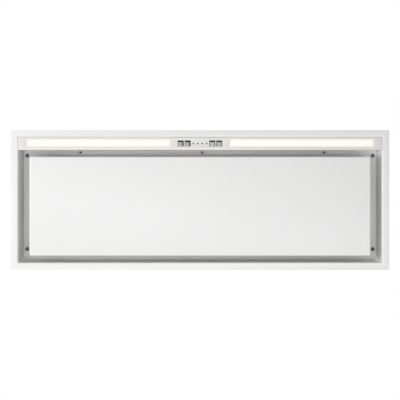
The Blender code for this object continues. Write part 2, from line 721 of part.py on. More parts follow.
# --- Suction panel ----------------------------------------------------------------------------
def rounded_pan(x, y, z, rounding):
    """An open-topped pan whose lower and upright edges are rounded, as a sheet.

    It is made too tall and trimmed, so that the upright edges are round right up to its rim.
    """
    bm = box(x, y, (z[0], z[1] + 4 * rounding))
    top = [f for f in bm.faces if f.normal.z > 0.5]
    bmesh.ops.delete(bm, geom=top, context="FACES")
    bmesh.ops.bevel(
        bm,
        geom=[e for e in bm.edges if not e.is_boundary],
        offset=rounding,
        offset_type="OFFSET",
        segments=PANEL_ROUNDING_STEPS,
        profile=0.5,
        affect="EDGES",
        material=-1,
    )
    cutting = bm.verts[:] + bm.edges[:] + bm.faces[:]
    bmesh.ops.bisect_plane(
        bm, geom=cutting, plane_co=(0, 0, z[1]), plane_no=(0, 0, 1), clear_outer=True, dist=1e-7
    )
    return bm


def build_panel():
    """The suction panel: a shallow lacquered pan and the backing sheet that stiffens it."""
    half = PANEL_SHEET / 2
    x = (-PANEL_X, PANEL_X)
    y = (PANEL_FRONT, PANEL_REAR)
    pan = rounded_pan(
        grown(x, -half), grown(y, -half), (PANEL_SINK + half, PANEL_TOP), PANEL_ROUNDING - half
    )
    smooth(sheet_piece("suction_panel", "white_lacquer", pan, PANEL_SHEET))
    backing_top = PANEL_TOP - BACKING_DEPTH
    backing_z = (backing_top - PANEL_SHEET, backing_top)
    backing = box(grown(x, -PANEL_ROUNDING), grown(y, -PANEL_ROUNDING), backing_z)
    piece("panel_backing", "aluminium", backing)


def hinge_spans(side):
    """Where a hinge's base, its arm's ear and its bracket's ear lie along X."""
    end = PANEL_X - HINGE_INSET
    base = mirrored(span(end, HINGE_PLATE_LENGTH), side)
    arm_ear = mirrored((end - HINGE_SHEET - JOINT_GAP, end - JOINT_GAP), side)
    bracket_ear = mirrored((end + JOINT_GAP, end + JOINT_GAP + HINGE_SHEET), side)
    return base, arm_ear, bracket_ear


def build_hinges():
    """On each side: an arm on the panel, a bracket on the tray, and the pin through their ears."""
    at = (HINGE_Y, HINGE_Z)
    ear_y = span(HINGE_Y, 2 * HINGE_EAR_RADIUS)
    arm_bottom = PANEL_TOP + JOINT_GAP
    arm_top = arm_bottom + HINGE_BASE_SHEET
    bracket_top = TRAY_BOTTOM - JOINT_GAP
    bracket_bottom = bracket_top - HINGE_BASE_SHEET
    for name, side in SIDES.items():
        base_x, arm_x, bracket_x = hinge_spans(side)
        hole_x = grown(base_x, CUT_REACH)
        base_y = (HINGE_Y - HINGE_ARM_REACH, HINGE_Y + HINGE_BASE_REAR)
        base = box(base_x, base_y, (arm_bottom, arm_top))
        arm = piece(f"hinge_arm_{name}", "steel", base, (0, *at))
        join(arm, box(arm_x, ear_y, (arm_top - MERGE, HINGE_Z)))
        join(arm, rod("X", at, arm_x, HINGE_EAR_RADIUS, 24))
        cut(arm, rod("X", at, hole_x, HINGE_PIN_RADIUS + PIN_GAP, 24))
        base_y = (HINGE_Y - HINGE_BASE_FRONT, HINGE_Y + HINGE_BASE_REAR)
        base = box(base_x, base_y, (bracket_bottom, bracket_top))
        bracket = piece(f"hinge_bracket_{name}", "steel", base)
        join(bracket, box(bracket_x, ear_y, (HINGE_Z, bracket_bottom + MERGE)))
        join(bracket, rod("X", at, bracket_x, HINGE_EAR_RADIUS, 24))
        cut(bracket, rod("X", at, hole_x, HINGE_PIN_RADIUS + PIN_GAP, 24))
        build_hinge_pin(name, side)


def build_hinge_pin(name, side):
    """A headed pin through one hinge's two ears."""
    at = (HINGE_Y, HINGE_Z)
    end = PANEL_X - HINGE_INSET
    ears_end = end + JOINT_GAP + HINGE_SHEET
    head_start = ears_end + JOINT_GAP
    stem = mirrored((end - JOINT_GAP - HINGE_SHEET - PIN_TAIL, head_start + MERGE), side)
    head = mirrored((head_start, head_start + PIN_HEAD_SHEET), side)
    pin = piece(f"hinge_pin_{name}", "steel", rod("X", at, stem, HINGE_PIN_RADIUS, 24))
    join(pin, rod("X", at, head, PIN_HEAD_RADIUS, 24))


def build_catches():
    """On each side: a magnetic catch under the tray and the strike plate that it holds."""
    y = PANEL_FRONT + CATCH_SETBACK + CATCH_WIDTH / 2
    strike_bottom = PANEL_TOP + JOINT_GAP
    strike_top = strike_bottom + STRIKE_SHEET
    for name, side in SIDES.items():
        x = side * (PANEL_X - CATCH_INSET)
        body = box(
            span(x, CATCH_LENGTH),
            span(y, CATCH_WIDTH),
            (strike_top + JOINT_GAP, TRAY_BOTTOM - JOINT_GAP),
        )
        piece(f"panel_catch_{name}", "black_plastic", body)
        strike = rod("Z", (x, y), (strike_bottom, strike_top), STRIKE_RADIUS, 24)
        piece(f"strike_plate_{name}", "steel", strike)


# --- Filters ----------------------------------------------------------------------------------
def build_filters():
    """On each side: a filter frame with its grooved rails, its mesh pack and its sliding latch."""
    y = (BAY_FRONT + FILTER_GAP, BAY_REAR - FILTER_GAP)
    z = (FILTER_BOTTOM, FILTER_TOP)
    groove_z = (FILTER_BOTTOM + FILTER_LIP, FILTER_TOP - FILTER_LIP)
    for name, side in SIDES.items():
        x = mirrored((FILTER_GAP, BAY_X - FILTER_GAP), side)
        window_x = grown(x, -FILTER_RAIL)
        window_y = (y[0] + FILTER_LATCH_RAIL, y[1] - FILTER_RAIL)
        groove_x = grown(window_x, FILTER_GROOVE)
        groove_y = grown(window_y, FILTER_GROOVE)
        frame = piece(f"filter_frame_{name}", "aluminium", box(x, y, z))
        cut(frame, box(window_x, window_y, grown(z, CUT_PAST)), box(groove_x, groove_y, groove_z))
        mesh_pack = box(
            grown(groove_x, -JOINT_GAP), grown(groove_y, -JOINT_GAP), grown(groove_z, -JOINT_GAP)
        )
        piece(f"filter_mesh_{name}", "aluminium", mesh_pack)
        build_latch(name, side, frame)


def build_latch(name, side, frame):
    """A latch whose tongue reaches through the bay's rim, and its pocket in the filter frame."""
    x = side * LATCH_X
    tongue_x = span(x, LATCH_WIDTH)
    tongue_y = (LATCH_FRONT, LATCH_FRONT + LATCH_LENGTH)
    tongue_z = (LATCH_BOTTOM, LATCH_BOTTOM + LATCH_THICKNESS)
    pull_x = span(x, LATCH_WIDTH / 2)
    pull_y = (tongue_y[1] - LATCH_PULL, tongue_y[1])
    pull_z = (LATCH_BOTTOM - LATCH_PULL_DROP, LATCH_BOTTOM + MERGE)
    latch = piece(f"filter_latch_{name}", "black_plastic", box(tongue_x, tongue_y, tongue_z))
    join(latch, box(pull_x, pull_y, pull_z))
    run = LATCH_TRAVEL + JOINT_GAP
    pocket_y = (tongue_y[0], tongue_y[1] + run)
    slot_y = (pull_y[0] - JOINT_GAP, pull_y[1] + run)
    slot_z = (FILTER_BOTTOM - CUT_PAST, LATCH_BOTTOM)
    cut(
        frame,
        box(grown(tongue_x, JOINT_GAP), pocket_y, grown(tongue_z, JOINT_GAP)),
        box(grown(pull_x, JOINT_GAP), slot_y, slot_z),
    )


# --- Casings ----------------------------------------------------------------------------------
def build_plenum():
    """The shallow casing over the tray: an inward foot, four walls and a top with an opening."""
    half = CASING_SHEET / 2
    low = PLENUM_BOTTOM + half
    high = PLENUM_TOP - half
    x = grown((-PLENUM_X, PLENUM_X), -half)
    y = grown((-PLENUM_Y, PLENUM_Y), -half)
    rectangles = [
        (grown(x, -PLENUM_FOOT), grown(y, -PLENUM_FOOT), low),
        (x, y, low),
        (x, y, high),
        (span(0, PLENUM_OPENING_LENGTH), span(0, PLENUM_OPENING_WIDTH), high),
    ]
    plenum = sheet_piece(
        "plenum_housing", "galvanised_steel", sheet_through(rectangles), CASING_SHEET
    )
    middle = (PLENUM_BOTTOM + PLENUM_TOP) / 2
    for side in SIDES.values():
        wall = mirrored((PLENUM_X - CUT_REACH, PLENUM_X + CUT_REACH), side)
        for y_hole in span(0, WALL_HOLE_SPACING):
            cut(plenum, rod("X", (y_hole, middle), wall, WALL_HOLE_RADIUS, 16))
        for y_screw in CORNER_SCREW_YS.values():
            at = (side * CORNER_SCREW_X, y_screw)
            foot = (low - CUT_REACH, low + CUT_REACH)
            cut(plenum, rod("Z", at, foot, CORNER_SCREW_SHANK + JOINT_GAP, 16))


def build_motor_housing():
    """The box over the blower: an outward foot, four walls and a top with the outlet's hole."""
    half = CASING_SHEET / 2
    low = HOUSING_BOTTOM + half
    x = grown(span(0, HOUSING_LENGTH), -half)
    y = grown((-HOUSING_Y, HOUSING_Y), -half)
    rectangles = [
        (grown(x, HOUSING_FOOT), grown(y, HOUSING_FOOT - half), low),
        (x, y, low),
        (x, y, HOUSING_TOP - half),
    ]
    sheet = sheet_through(rectangles, closed=True)
    housing = sheet_piece("motor_housing", "galvanised_steel", sheet, CASING_SHEET)
    hole_z = span(HOUSING_TOP, 2 * CUT_REACH)
    cut(housing, rod("Z", (0, 0), hole_z, COLLAR_INNER + JOINT_GAP, ROUND_STEPS))


# --- Blower -----------------------------------------------------------------------------------
def scroll_outline(inset, top):
    """The (y, z) outline of the scroll: up the outlet's walls and round the growing spiral."""
    tongue_y = FAN_Y + SCROLL_TONGUE_SHIFT + inset
    tongue_turn = -math.asin((SCROLL_TONGUE_SHIFT + inset) / (SCROLL_START - inset))
    end_turn = math.pi * 1.5
    points = [(tongue_y, top)]
    for step in range(SCROLL_STEPS + 1):
        turn = tongue_turn + (end_turn - tongue_turn) * step / SCROLL_STEPS
        radius = SCROLL_START - inset + SCROLL_GROWTH * max(turn, 0) / end_turn
        points.append((FAN_Y - radius * math.sin(turn), FAN_Z + radius * math.cos(turn)))
    points.append((FAN_Y + SCROLL_END - inset, top))
    return points


def scroll_prism(x, inset, top):
    """A block of the scroll's outline between two values of X."""
    bm = bmesh.new()
    verts = [bm.verts.new((x[0], y, z)) for y, z in scroll_outline(inset, top)]
    face = bmesh.ops.contextual_create(bm, geom=verts)
    thick = bmesh.ops.extrude_face_region(bm, geom=face["faces"])["geom"]
    moved = [v for v in thick if isinstance(v, bmesh.types.BMVert)]
    bmesh.ops.translate(bm, verts=moved, vec=(x[1] - x[0], 0, 0))
    bmesh.ops.recalc_face_normals(bm, faces=bm.faces)
    return bm


def build_scroll():
    """The blower's casing in two halves, each with an inlet and half of the outlet's lip."""
    lip_y = (FAN_Y + SCROLL_TONGUE_SHIFT - SCROLL_MOUTH_LIP, FAN_Y + SCROLL_END + SCROLL_MOUTH_LIP)
    for name, side in SIDES.items():
        body_x = mirrored((JOINT_GAP / 2, SCROLL_X), side)
        half = piece(f"scroll_half_{name}", "black_plastic", scroll_prism(body_x, 0, MOUTH_TOP))
        lip_x = mirrored((JOINT_GAP / 2, SCROLL_X + SCROLL_MOUTH_LIP), side)
        join(half, box(lip_x, lip_y, (MOUTH_TOP - SCROLL_WALL, MOUTH_TOP)))
        hollow_x = mirrored((-CUT_PAST, SCROLL_X - SCROLL_WALL), side)
        inlet_x = mirrored((0, SCROLL_X + CUT_PAST), side)
        cut(
            half,
            scroll_prism(hollow_x, SCROLL_WALL, MOUTH_TOP + CUT_PAST),
            rod("X", (FAN_Y, FAN_Z), inlet_x, SCROLL_INLET_RADIUS, 40),
        )


def wheel_slots():
    """The gaps between the wheel's blades, as one mesh of separate blocks."""
    bm = bmesh.new()
    low = WHEEL_DISC / 2 + WHEEL_RING
    high = WHEEL_HALF_LENGTH - WHEEL_RING
    radial = WHEEL_BLADE_DEPTH + 2 * CUT_REACH
    size = Matrix.Diagonal((high - low, WHEEL_SLOT, radial, 1))
    for side in SIDES.values():
        centre = side * (low + high) / 2
        for step in range(WHEEL_BLADES):
            turn = Matrix.Rotation(math.tau * step / WHEEL_BLADES, 4, "X")
            out = Matrix.Translation((centre, 0, WHEEL_RADIUS - WHEEL_BLADE_DEPTH / 2))
            place = Matrix.Translation((0, FAN_Y, FAN_Z)) @ turn @ out
            bmesh.ops.create_cube(bm, size=1, matrix=place @ size)
    return bm


def build_wheel():
    """The double-inlet fan wheel on its shaft: a drum of blades either side of a centre disc."""
    at = (FAN_Y, FAN_Z)
    drum = rod("X", at, span(0, 2 * WHEEL_HALF_LENGTH), WHEEL_RADIUS, ROUND_STEPS)
    wheel = piece("fan_wheel", "black_plastic", drum, (0, *at))
    inner = WHEEL_RADIUS - WHEEL_BLADE_DEPTH
    for side in SIDES.values():
        ends = mirrored((WHEEL_DISC / 2, WHEEL_HALF_LENGTH + CUT_PAST), side)
        cut(wheel, rod("X", at, ends, inner, ROUND_STEPS))
    cut(wheel, wheel_slots())
    hub_end = WHEEL_DISC / 2 + HUB_LENGTH
    join(wheel, rod("X", at, (0, hub_end), HUB_RADIUS, 24))
    cut(wheel, rod("X", at, (-WHEEL_DISC, hub_end + CUT_PAST), SHAFT_RADIUS + PIN_GAP, 24))
    shaft_x = (-SHAFT_TAIL, hub_end + SHAFT_NOSE)
    piece("motor_shaft", "steel", rod("X", at, shaft_x, SHAFT_RADIUS, 24), (0, *at))


def build_motor():
    """The motor inside the wheel's left half, its front bearing, and the bracket that holds it."""
    at = (FAN_Y, FAN_Z)
    nose = -WHEEL_DISC / 2 - MOTOR_NOSE_GAP
    motor = piece("fan_motor", "galvanised_steel", rod("X", at, (-SCROLL_X, nose), MOTOR_RADIUS, 40))
    bore = (-SHAFT_TAIL - CUT_PAST, nose + CUT_PAST)
    cut(motor, rod("X", at, bore, SHAFT_RADIUS + JOINT_GAP, 24))
    seat = (nose - BEARING_LENGTH - JOINT_GAP, nose + CUT_PAST)
    cut(motor, rod("X", at, seat, BEARING_RADIUS + JOINT_GAP, 32))
    ring = rod("X", at, (nose - BEARING_LENGTH, nose), BEARING_RADIUS, 32)
    bearing = piece("motor_bearing", "steel", ring)
    cut(bearing, rod("X", at, grown(seat, CUT_PAST), SHAFT_RADIUS + PIN_GAP, 24))
    plate_x = (-SCROLL_X - JOINT_GAP - BRACKET_SHEET, -SCROLL_X - JOINT_GAP)
    plate = rod("X", at, plate_x, BRACKET_DISC_RADIUS, 32)
    bracket = piece("motor_bracket", "galvanised_steel", plate)
    for step in range(BRACKET_ARMS):
        arm = box(plate_x, span(0, BRACKET_ARM_WIDTH), (0, BRACKET_REACH))
        turn = Matrix.Rotation(math.tau * step / BRACKET_ARMS, 3, "X")
        bmesh.ops.rotate(arm, verts=arm.verts, matrix=turn)
        bmesh.ops.translate(arm, verts=arm.verts, vec=(0, *at))
        join(bracket, arm)


# --- Outlet -----------------------------------------------------------------------------------
def build_collar():
    """The round outlet: a turned spigot with a foot and a seat for the flaps."""
    seat_top = SPINDLE_Z - FLAP_SHEET / 2 - JOINT_GAP
    seat_bottom = seat_top - FLAP_SEAT_SHEET
    seat_radius = COLLAR_INNER - FLAP_SEAT_WIDTH
    top = COLLAR_BOTTOM + COLLAR_HEIGHT
    foot_top = COLLAR_BOTTOM + COLLAR_FOOT_SHEET
    profile = [
        (COLLAR_RADIUS, top),
        (COLLAR_RADIUS, foot_top),
        (COLLAR_FOOT_RADIUS, foot_top),
        (COLLAR_FOOT_RADIUS, COLLAR_BOTTOM),
        (COLLAR_INNER, COLLAR_BOTTOM),
        (COLLAR_INNER, seat_bottom),
        (seat_radius, seat_bottom),
        (seat_radius, seat_top),
        (COLLAR_INNER, seat_top),
        (COLLAR_INNER, top),
    ]
    bm = bmesh.new()
    verts = [bm.verts.new((radius, 0, z)) for radius, z in profile]
    for first, second in zip(verts, verts[1:] + verts[:1]):
        bm.edges.new((first, second))
    collar = piece("outlet_collar", "black_plastic", bm)
    screw = collar.modifiers.new("Turned", "SCREW")
    screw.steps = ROUND_STEPS
    screw.render_steps = ROUND_STEPS
    screw.use_merge_vertices = True
    screw.merge_threshold = 0.00001
    cut(collar, rod("Y", (0, SPINDLE_Z), span(0, DUCT_DIAMETER), SPINDLE_RADIUS + JOINT_GAP, 16))


def build_flaps():
    """Two half-round flaps that share a spindle; the left one is the right one turned about."""
    radius = COLLAR_INNER - FLAP_RIM_GAP
    sheet_z = span(SPINDLE_Z, FLAP_SHEET)
    for name, side in SIDES.items():
        disc = rod("Z", (0, 0), sheet_z, radius, ROUND_STEPS)
        flap = piece(f"flap_{name}", "black_plastic", disc, (0, 0, SPINDLE_Z))
        away = mirrored((-DUCT_DIAMETER, FLAP_ROOT_GAP), side)
        cut(flap, box(away, span(0, 2 * DUCT_DIAMETER), grown(sheet_z, CUT_PAST)))
        for ends in KNUCKLE_SPANS:
            y = mirrored(ends, side)
            tab_x = mirrored((0, FLAP_ROOT_GAP + MERGE), side)
            join(flap, box(tab_x, y, sheet_z), rod("Y", (0, SPINDLE_Z), y, KNUCKLE_RADIUS, 20))
        bore = SPINDLE_RADIUS + PIN_GAP
        cut(flap, rod("Y", (0, SPINDLE_Z), span(0, DUCT_DIAMETER), bore, 16))
    ends = span(0, 2 * (COLLAR_RADIUS - JOINT_GAP))
    piece("flap_spindle", "steel", rod("Y", (0, SPINDLE_Z), ends, SPINDLE_RADIUS, 16))


# --- Electronics ------------------------------------------------------------------------------
def build_electronics():
    """The connection box on the plenum, its lid and what it holds."""
    half = CASING_SHEET / 2
    outer_x = span(BOX_X, BOX_LENGTH)
    outer_y = span(0, BOX_WIDTH)
    x = grown(outer_x, -half)
    y = grown(outer_y, -half)
    floor = BOX_BOTTOM + CASING_SHEET + JOINT_GAP
    pan = sheet_through([(x, y, BOX_TOP), (x, y, BOX_BOTTOM + half)], closed=True)
    pan_piece = sheet_piece("electronics_box", "galvanised_steel", pan, CASING_SHEET)
    gland_at = (GLAND_OFFSET, (BOX_BOTTOM + BOX_TOP) / 2)
    wall = grown((outer_x[1], outer_x[1]), CUT_REACH)
    cut(pan_piece, rod("X", gland_at, wall, GLAND_RADIUS + JOINT_GAP, 24))
    lid_x = grown(outer_x, JOINT_GAP + half)
    lid_y = grown(outer_y, JOINT_GAP + half)
    lid_top = BOX_TOP + JOINT_GAP + half
    lid = sheet_through([(lid_x, lid_y, lid_top - LID_SKIRT), (lid_x, lid_y, lid_top)], closed=True)
    sheet_piece("electronics_lid", "galvanised_steel", lid, CASING_SHEET)
    build_gland(outer_x[1], gland_at)
    left, right = grown(outer_x, -BOX_MARGIN)
    front, back = grown(outer_y, -BOX_MARGIN)
    tube_at = (left + CAPACITOR_RADIUS, floor + CAPACITOR_RADIUS)
    tube = rod("Y", tube_at, (front, front + CAPACITOR_LENGTH), CAPACITOR_RADIUS, 32)
    piece("capacitor", "aluminium", tube)
    board_left = left + 2 * CAPACITOR_RADIUS + POWER_BOARD_GAP
    board_x = (board_left, board_left + POWER_BOARD_WIDTH)
    build_power_board(board_x, (front, back), floor)
    build_terminal_block((right - TERMINAL_LENGTH, right), (back - TERMINAL_WIDTH, back), floor)


def build_gland(wall_x, at):
    """The cable gland in the box's end wall, with its bore for the mains cable."""
    head = (wall_x + JOINT_GAP, wall_x + GLAND_HEAD_LENGTH)
    neck = (wall_x - GLAND_NECK_LENGTH, head[0] + MERGE)
    gland = piece("mains_gland", "black_plastic", rod("X", at, head, GLAND_HEAD_RADIUS, 6))
    join(gland, rod("X", at, neck, GLAND_RADIUS, 24))
    cut(gland, rod("X", at, (neck[0] - CUT_PAST, head[1] + CUT_PAST), GLAND_BORE, 24))


def build_power_board(x, y, floor):
    """The supply board: a plate on four feet, with three relays and a transformer."""
    low = floor + POWER_BOARD_LIFT
    board = piece("power_board", "circuit_board", box(x, y, (low, low + BOARD_THICKNESS)))
    foot_z = (floor + JOINT_GAP, low + MERGE)
    for foot_x in grown(x, -2 * BOARD_FOOT_RADIUS):
        for foot_y in grown(y, -2 * BOARD_FOOT_RADIUS):
            join(board, rod("Z", (foot_x, foot_y), foot_z, BOARD_FOOT_RADIUS, 10))
    base = low + MERGE
    length = y[1] - y[0]
    for share in RELAY_SHARES:
        relay_y = span(y[0] + share * length, RELAY_WIDTH)
        join(board, box(grown(x, -BOX_MARGIN), relay_y, (base, base + RELAY_HEIGHT)))
    transformer_y = span(y[0] + TRANSFORMER_SHARE * length, TRANSFORMER_WIDTH)
    join(board, box(grown(x, -BOX_MARGIN), transformer_y, (base, base + TRANSFORMER_HEIGHT)))


def build_terminal_block(x, y, low):
    """The mains terminal block, with a well for each of its wires."""
    top = low + TERMINAL_HEIGHT
    block = piece("terminal_block", "white_plastic", box(x, y, (low, top)))
    pitch = (y[1] - y[0]) / TERMINAL_POLES
    well_x = grown(x, -2 * TERMINAL_WALL)
    for pole in range(TERMINAL_POLES):
        well_y = span(y[0] + (pole + 0.5) * pitch, pitch - TERMINAL_WALL)
        cut(block, box(well_x, well_y, (low + TERMINAL_FLOOR, top + CUT_PAST)))


def main():
    """Builds the hood from its frame inwards."""
    build_frame()
    build_tray()
    build_header()
    build_screws()
    build_lights()
    build_buttons()
    build_light_guide()
    build_control_board()
    build_control_cover()
    build_panel()
    build_hinges()
    build_catches()
    build_filters()
    build_plenum()
    build_motor_housing()
    build_scroll()
    build_wheel()
    build_motor()
    build_collar()
    build_flaps()
    build_electronics()


main()
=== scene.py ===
"""Looks of the built-in perimeter-suction hood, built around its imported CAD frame.

Axes: +X along the hood's length, -Y its front (the controls), +Z up into the cabinet.
The hood is seen from below, so its visible faces look down.
"""

import json
import logging
import math
from collections.abc import Callable, Iterable, Sequence
from dataclasses import dataclass
from enum import Enum

import bmesh
import bpy
from mathutils import Matrix, Vector

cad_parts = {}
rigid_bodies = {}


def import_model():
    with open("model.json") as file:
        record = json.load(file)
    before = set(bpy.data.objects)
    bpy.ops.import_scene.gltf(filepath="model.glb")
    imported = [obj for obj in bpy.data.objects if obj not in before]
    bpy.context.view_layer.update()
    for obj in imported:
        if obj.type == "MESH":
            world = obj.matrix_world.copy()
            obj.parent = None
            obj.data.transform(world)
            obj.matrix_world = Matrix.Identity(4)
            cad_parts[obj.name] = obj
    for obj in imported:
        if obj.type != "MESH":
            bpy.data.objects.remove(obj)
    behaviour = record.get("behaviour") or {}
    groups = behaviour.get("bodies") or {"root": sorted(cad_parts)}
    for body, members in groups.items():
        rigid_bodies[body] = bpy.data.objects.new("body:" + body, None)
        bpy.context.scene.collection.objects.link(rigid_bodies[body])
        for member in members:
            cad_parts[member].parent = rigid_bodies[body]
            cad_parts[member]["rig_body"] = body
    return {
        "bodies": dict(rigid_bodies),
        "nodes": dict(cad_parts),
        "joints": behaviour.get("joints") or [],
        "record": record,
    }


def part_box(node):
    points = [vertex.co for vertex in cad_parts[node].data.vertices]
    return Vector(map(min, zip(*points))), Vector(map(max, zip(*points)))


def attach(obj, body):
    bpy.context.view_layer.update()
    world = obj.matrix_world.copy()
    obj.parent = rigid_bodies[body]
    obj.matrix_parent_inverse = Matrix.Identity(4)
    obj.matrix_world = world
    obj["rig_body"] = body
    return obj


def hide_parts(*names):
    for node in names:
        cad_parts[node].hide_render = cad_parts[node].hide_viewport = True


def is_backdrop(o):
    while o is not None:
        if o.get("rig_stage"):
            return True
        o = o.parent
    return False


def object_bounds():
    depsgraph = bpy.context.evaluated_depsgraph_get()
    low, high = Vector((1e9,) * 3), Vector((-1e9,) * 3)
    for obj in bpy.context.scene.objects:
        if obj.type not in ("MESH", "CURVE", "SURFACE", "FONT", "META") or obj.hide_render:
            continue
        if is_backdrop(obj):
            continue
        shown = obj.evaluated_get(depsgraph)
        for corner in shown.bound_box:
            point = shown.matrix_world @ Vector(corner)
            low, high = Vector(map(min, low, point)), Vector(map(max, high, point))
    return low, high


MM = 0.001
LOG = logging.getLogger("hood")

Span = tuple[float, float]
Colour = tuple[float, float, float]
Mesh = bmesh.types.BMesh


class Slot(Enum):
    """The record's material slots."""

    LACQUER = "white_lacquer"
    GALVANISED = "galvanised_steel"
    STEEL = "steel"
    ALUMINIUM = "aluminium"
    LENS = "lens_acrylic"
    INDICATOR = "indicator_plastic"
    WHITE_PLASTIC = "white_plastic"
    BUTTON = "grey_button"
    BLACK_PLASTIC = "black_plastic"
    BOARD = "circuit_board"
    SCREW = "screw_steel"


class Side(Enum):
    """The two mirrored sides, with the sign of their X."""

    LEFT = -1
    RIGHT = 1

    @property
    def label(self) -> str:
        """The side's name as the nodes spell it."""
        return self.name.lower()

    def end(self, ends: tuple[float, float]) -> float:
        """The end of a span that lies on this side."""
        return ends[0] if self is Side.LEFT else ends[1]


# --- Finishes ---------------------------------------------------------------------------------
class Graph:
    """A material's node tree while it is being made."""

    def __init__(self, name: str) -> None:
        """Starts a material with its Principled shader.

        Args:
            name: The material's name.
        """
        self.material = bpy.data.materials.new(name)
        self.material.use_nodes = True
        self.tree = self.material.node_tree
        self.shader = self.tree.nodes["Principled BSDF"]
        self.place = self.add("ShaderNodeTexCoord").outputs["Object"]

    def add(self, kind: str, inputs: dict | None = None, **settings: object) -> bpy.types.Node:
        """Adds a node.

        Args:
            kind: The node's type.
            inputs: A value, or the socket that feeds it, for each input that is set.
            settings: The node's own properties.

        Returns:
            The node.
        """
        node = self.tree.nodes.new(kind)
        for name, value in settings.items():
            setattr(node, name, value)
        for name, value in (inputs or {}).items():
            self.feed(node.inputs[name], value)
        return node

    def feed(self, socket: bpy.types.NodeSocket, value: object) -> None:
        """Sets a socket to a value, or links another socket to it."""
        if isinstance(value, bpy.types.NodeSocket):
            self.tree.links.new(value, socket)
        else:
            socket.default_value = value

    def set(self, **inputs: object) -> None:
        """Sets the shader's sockets; an underscore in a name stands for a space."""
        for name, value in inputs.items():
            self.feed(self.shader.inputs[name.replace("_", " ")], value)

    def noise(self, scale: float, detail: float = 2.0, stretch: Sequence[float] = (1, 1, 1)):
        """A noise value on object coordinates, stretched by its own scale on each axis."""
        where = self.add("ShaderNodeMapping", {"Vector": self.place, "Scale": stretch})
        inputs = {"Vector": where.outputs["Vector"], "Scale": scale, "Detail": detail}
        return self.add("ShaderNodeTexNoise", inputs).outputs["Fac"]

    def remap(self, value: object, low: float, high: float, start: float = 0.3, end: float = 0.7):
        """Maps a value from the range start to end onto low to high."""
        inputs = {"Value": value, "From Min": start, "From Max": end, "To Min": low, "To Max": high}
        return self.add("ShaderNodeMapRange", inputs).outputs["Result"]

    def mix(self, share: object, first: Colour, second: Colour) -> bpy.types.NodeSocket:
        """A colour between two, by a share that is linked."""
        ramp = self.add("ShaderNodeValToRGB", {"Fac": share})
        ramp.color_ramp.elements[0].color = (*first, 1)
        ramp.color_ramp.elements[1].color = (*second, 1)
        return ramp.outputs["Color"]

    def bump(self, height: object, depth: float, strength: float = 1.0) -> None:
        """Gives the shader a relief of a depth in metres."""
        inputs = {"Height": height, "Distance": depth, "Strength": strength}
        self.set(Normal=self.add("ShaderNodeBump", inputs).outputs["Normal"])


def shade(colour: Colour, share: float) -> Colour:
    """A colour made darker or lighter by a share."""
    return tuple(min(part * share, 1.0) for part in colour)


@dataclass(frozen=True)
class Finish:
    """A finish: its name, the record's slot it belongs to, and its colour."""

    name: str
    slot: Slot
    colour: Colour
    roughness: float = 0.4

    def material(self) -> bpy.types.Material:
        """The finish's material, made the first time it is asked for."""
        found = bpy.data.materials.get(self.name)
        if found is None:
            graph = Graph(self.name)
            self.paint(graph)
            found = graph.material
        return found

    def paint(self, graph: Graph) -> None:
        """Fills the material's node tree."""
        raise NotImplementedError


@dataclass(frozen=True)
class PowderCoat(Finish):
    """Baked powder paint: an even colour with a fine orange peel."""

    peel_scale: float = 620.0
    peel_depth: float = 0.05 * MM
    drift: float = 0.985

    def paint(self, graph: Graph) -> None:
        """An even coat whose gloss and colour drift a little, with its orange peel."""
        tone = graph.remap(graph.noise(5.0, 3.0), 0.0, 1.0)
        graph.set(
            Base_Color=graph.mix(tone, shade(self.colour, self.drift), self.colour),
            Roughness=graph.remap(graph.noise(42.0, 3.0), self.roughness - 0.03, self.roughness + 0.04),
            Specular_IOR_Level=0.5,
        )
        graph.bump(graph.noise(self.peel_scale, 3.0), self.peel_depth, 0.35)


@dataclass(frozen=True)
class Spangle(Finish):
    """Hot-dip galvanised sheet: crystals of different greys, a little relief and dull stains."""

    crystal_scale: float = 105.0

    def paint(self, graph: Graph) -> None:
        """Crystals as cells, each with its own grey and gloss."""
        warp = graph.add("ShaderNodeTexNoise", {"Vector": graph.place, "Scale": 60.0})
        bent = graph.add(
            "ShaderNodeMix",
            {"Factor": 0.02, 4: graph.place, 5: warp.outputs["Color"]},
            data_type="VECTOR",
        )
        inputs = {"Vector": bent.outputs[1], "Scale": self.crystal_scale}
        cells = graph.add("ShaderNodeTexVoronoi", inputs)
        grey = graph.add("ShaderNodeSeparateColor", {"Color": cells.outputs["Color"]})
        crystal = grey.outputs["Red"]
        stain = graph.noise(9.0, 4.0)
        both = graph.add("ShaderNodeMath", {0: crystal, 1: stain}, operation="MULTIPLY")
        graph.set(
            Base_Color=graph.mix(both.outputs[0], shade(self.colour, 0.78), shade(self.colour, 1.16)),
            Roughness=graph.remap(crystal, self.roughness - 0.1, self.roughness + 0.1, 0, 1),
            Metallic=0.92,
        )
        graph.bump(cells.outputs["Distance"], 0.02 * MM, 0.5)


@dataclass(frozen=True)
class BrushedMetal(Finish):
    """Bare metal with fine drawn lines along one axis."""

    line_scale: float = 55.0
    along: Sequence[float] = (1, 24, 24)
    metallic: float = 1.0

    def paint(self, graph: Graph) -> None:
        """Lines stretched along the axis, in the gloss, the grey and the relief."""
        lines = graph.noise(self.line_scale, 5.0, self.along)
        blotch = graph.noise(16.0, 3.0)
        graph.set(
            Base_Color=graph.mix(
                graph.remap(lines, 0, 1), shade(self.colour, 0.86), shade(self.colour, 1.06)
            ),
            Roughness=graph.remap(blotch, self.roughness - 0.06, self.roughness + 0.08),
            Metallic=self.metallic,
        )
        graph.bump(lines, 0.02 * MM, 0.4)


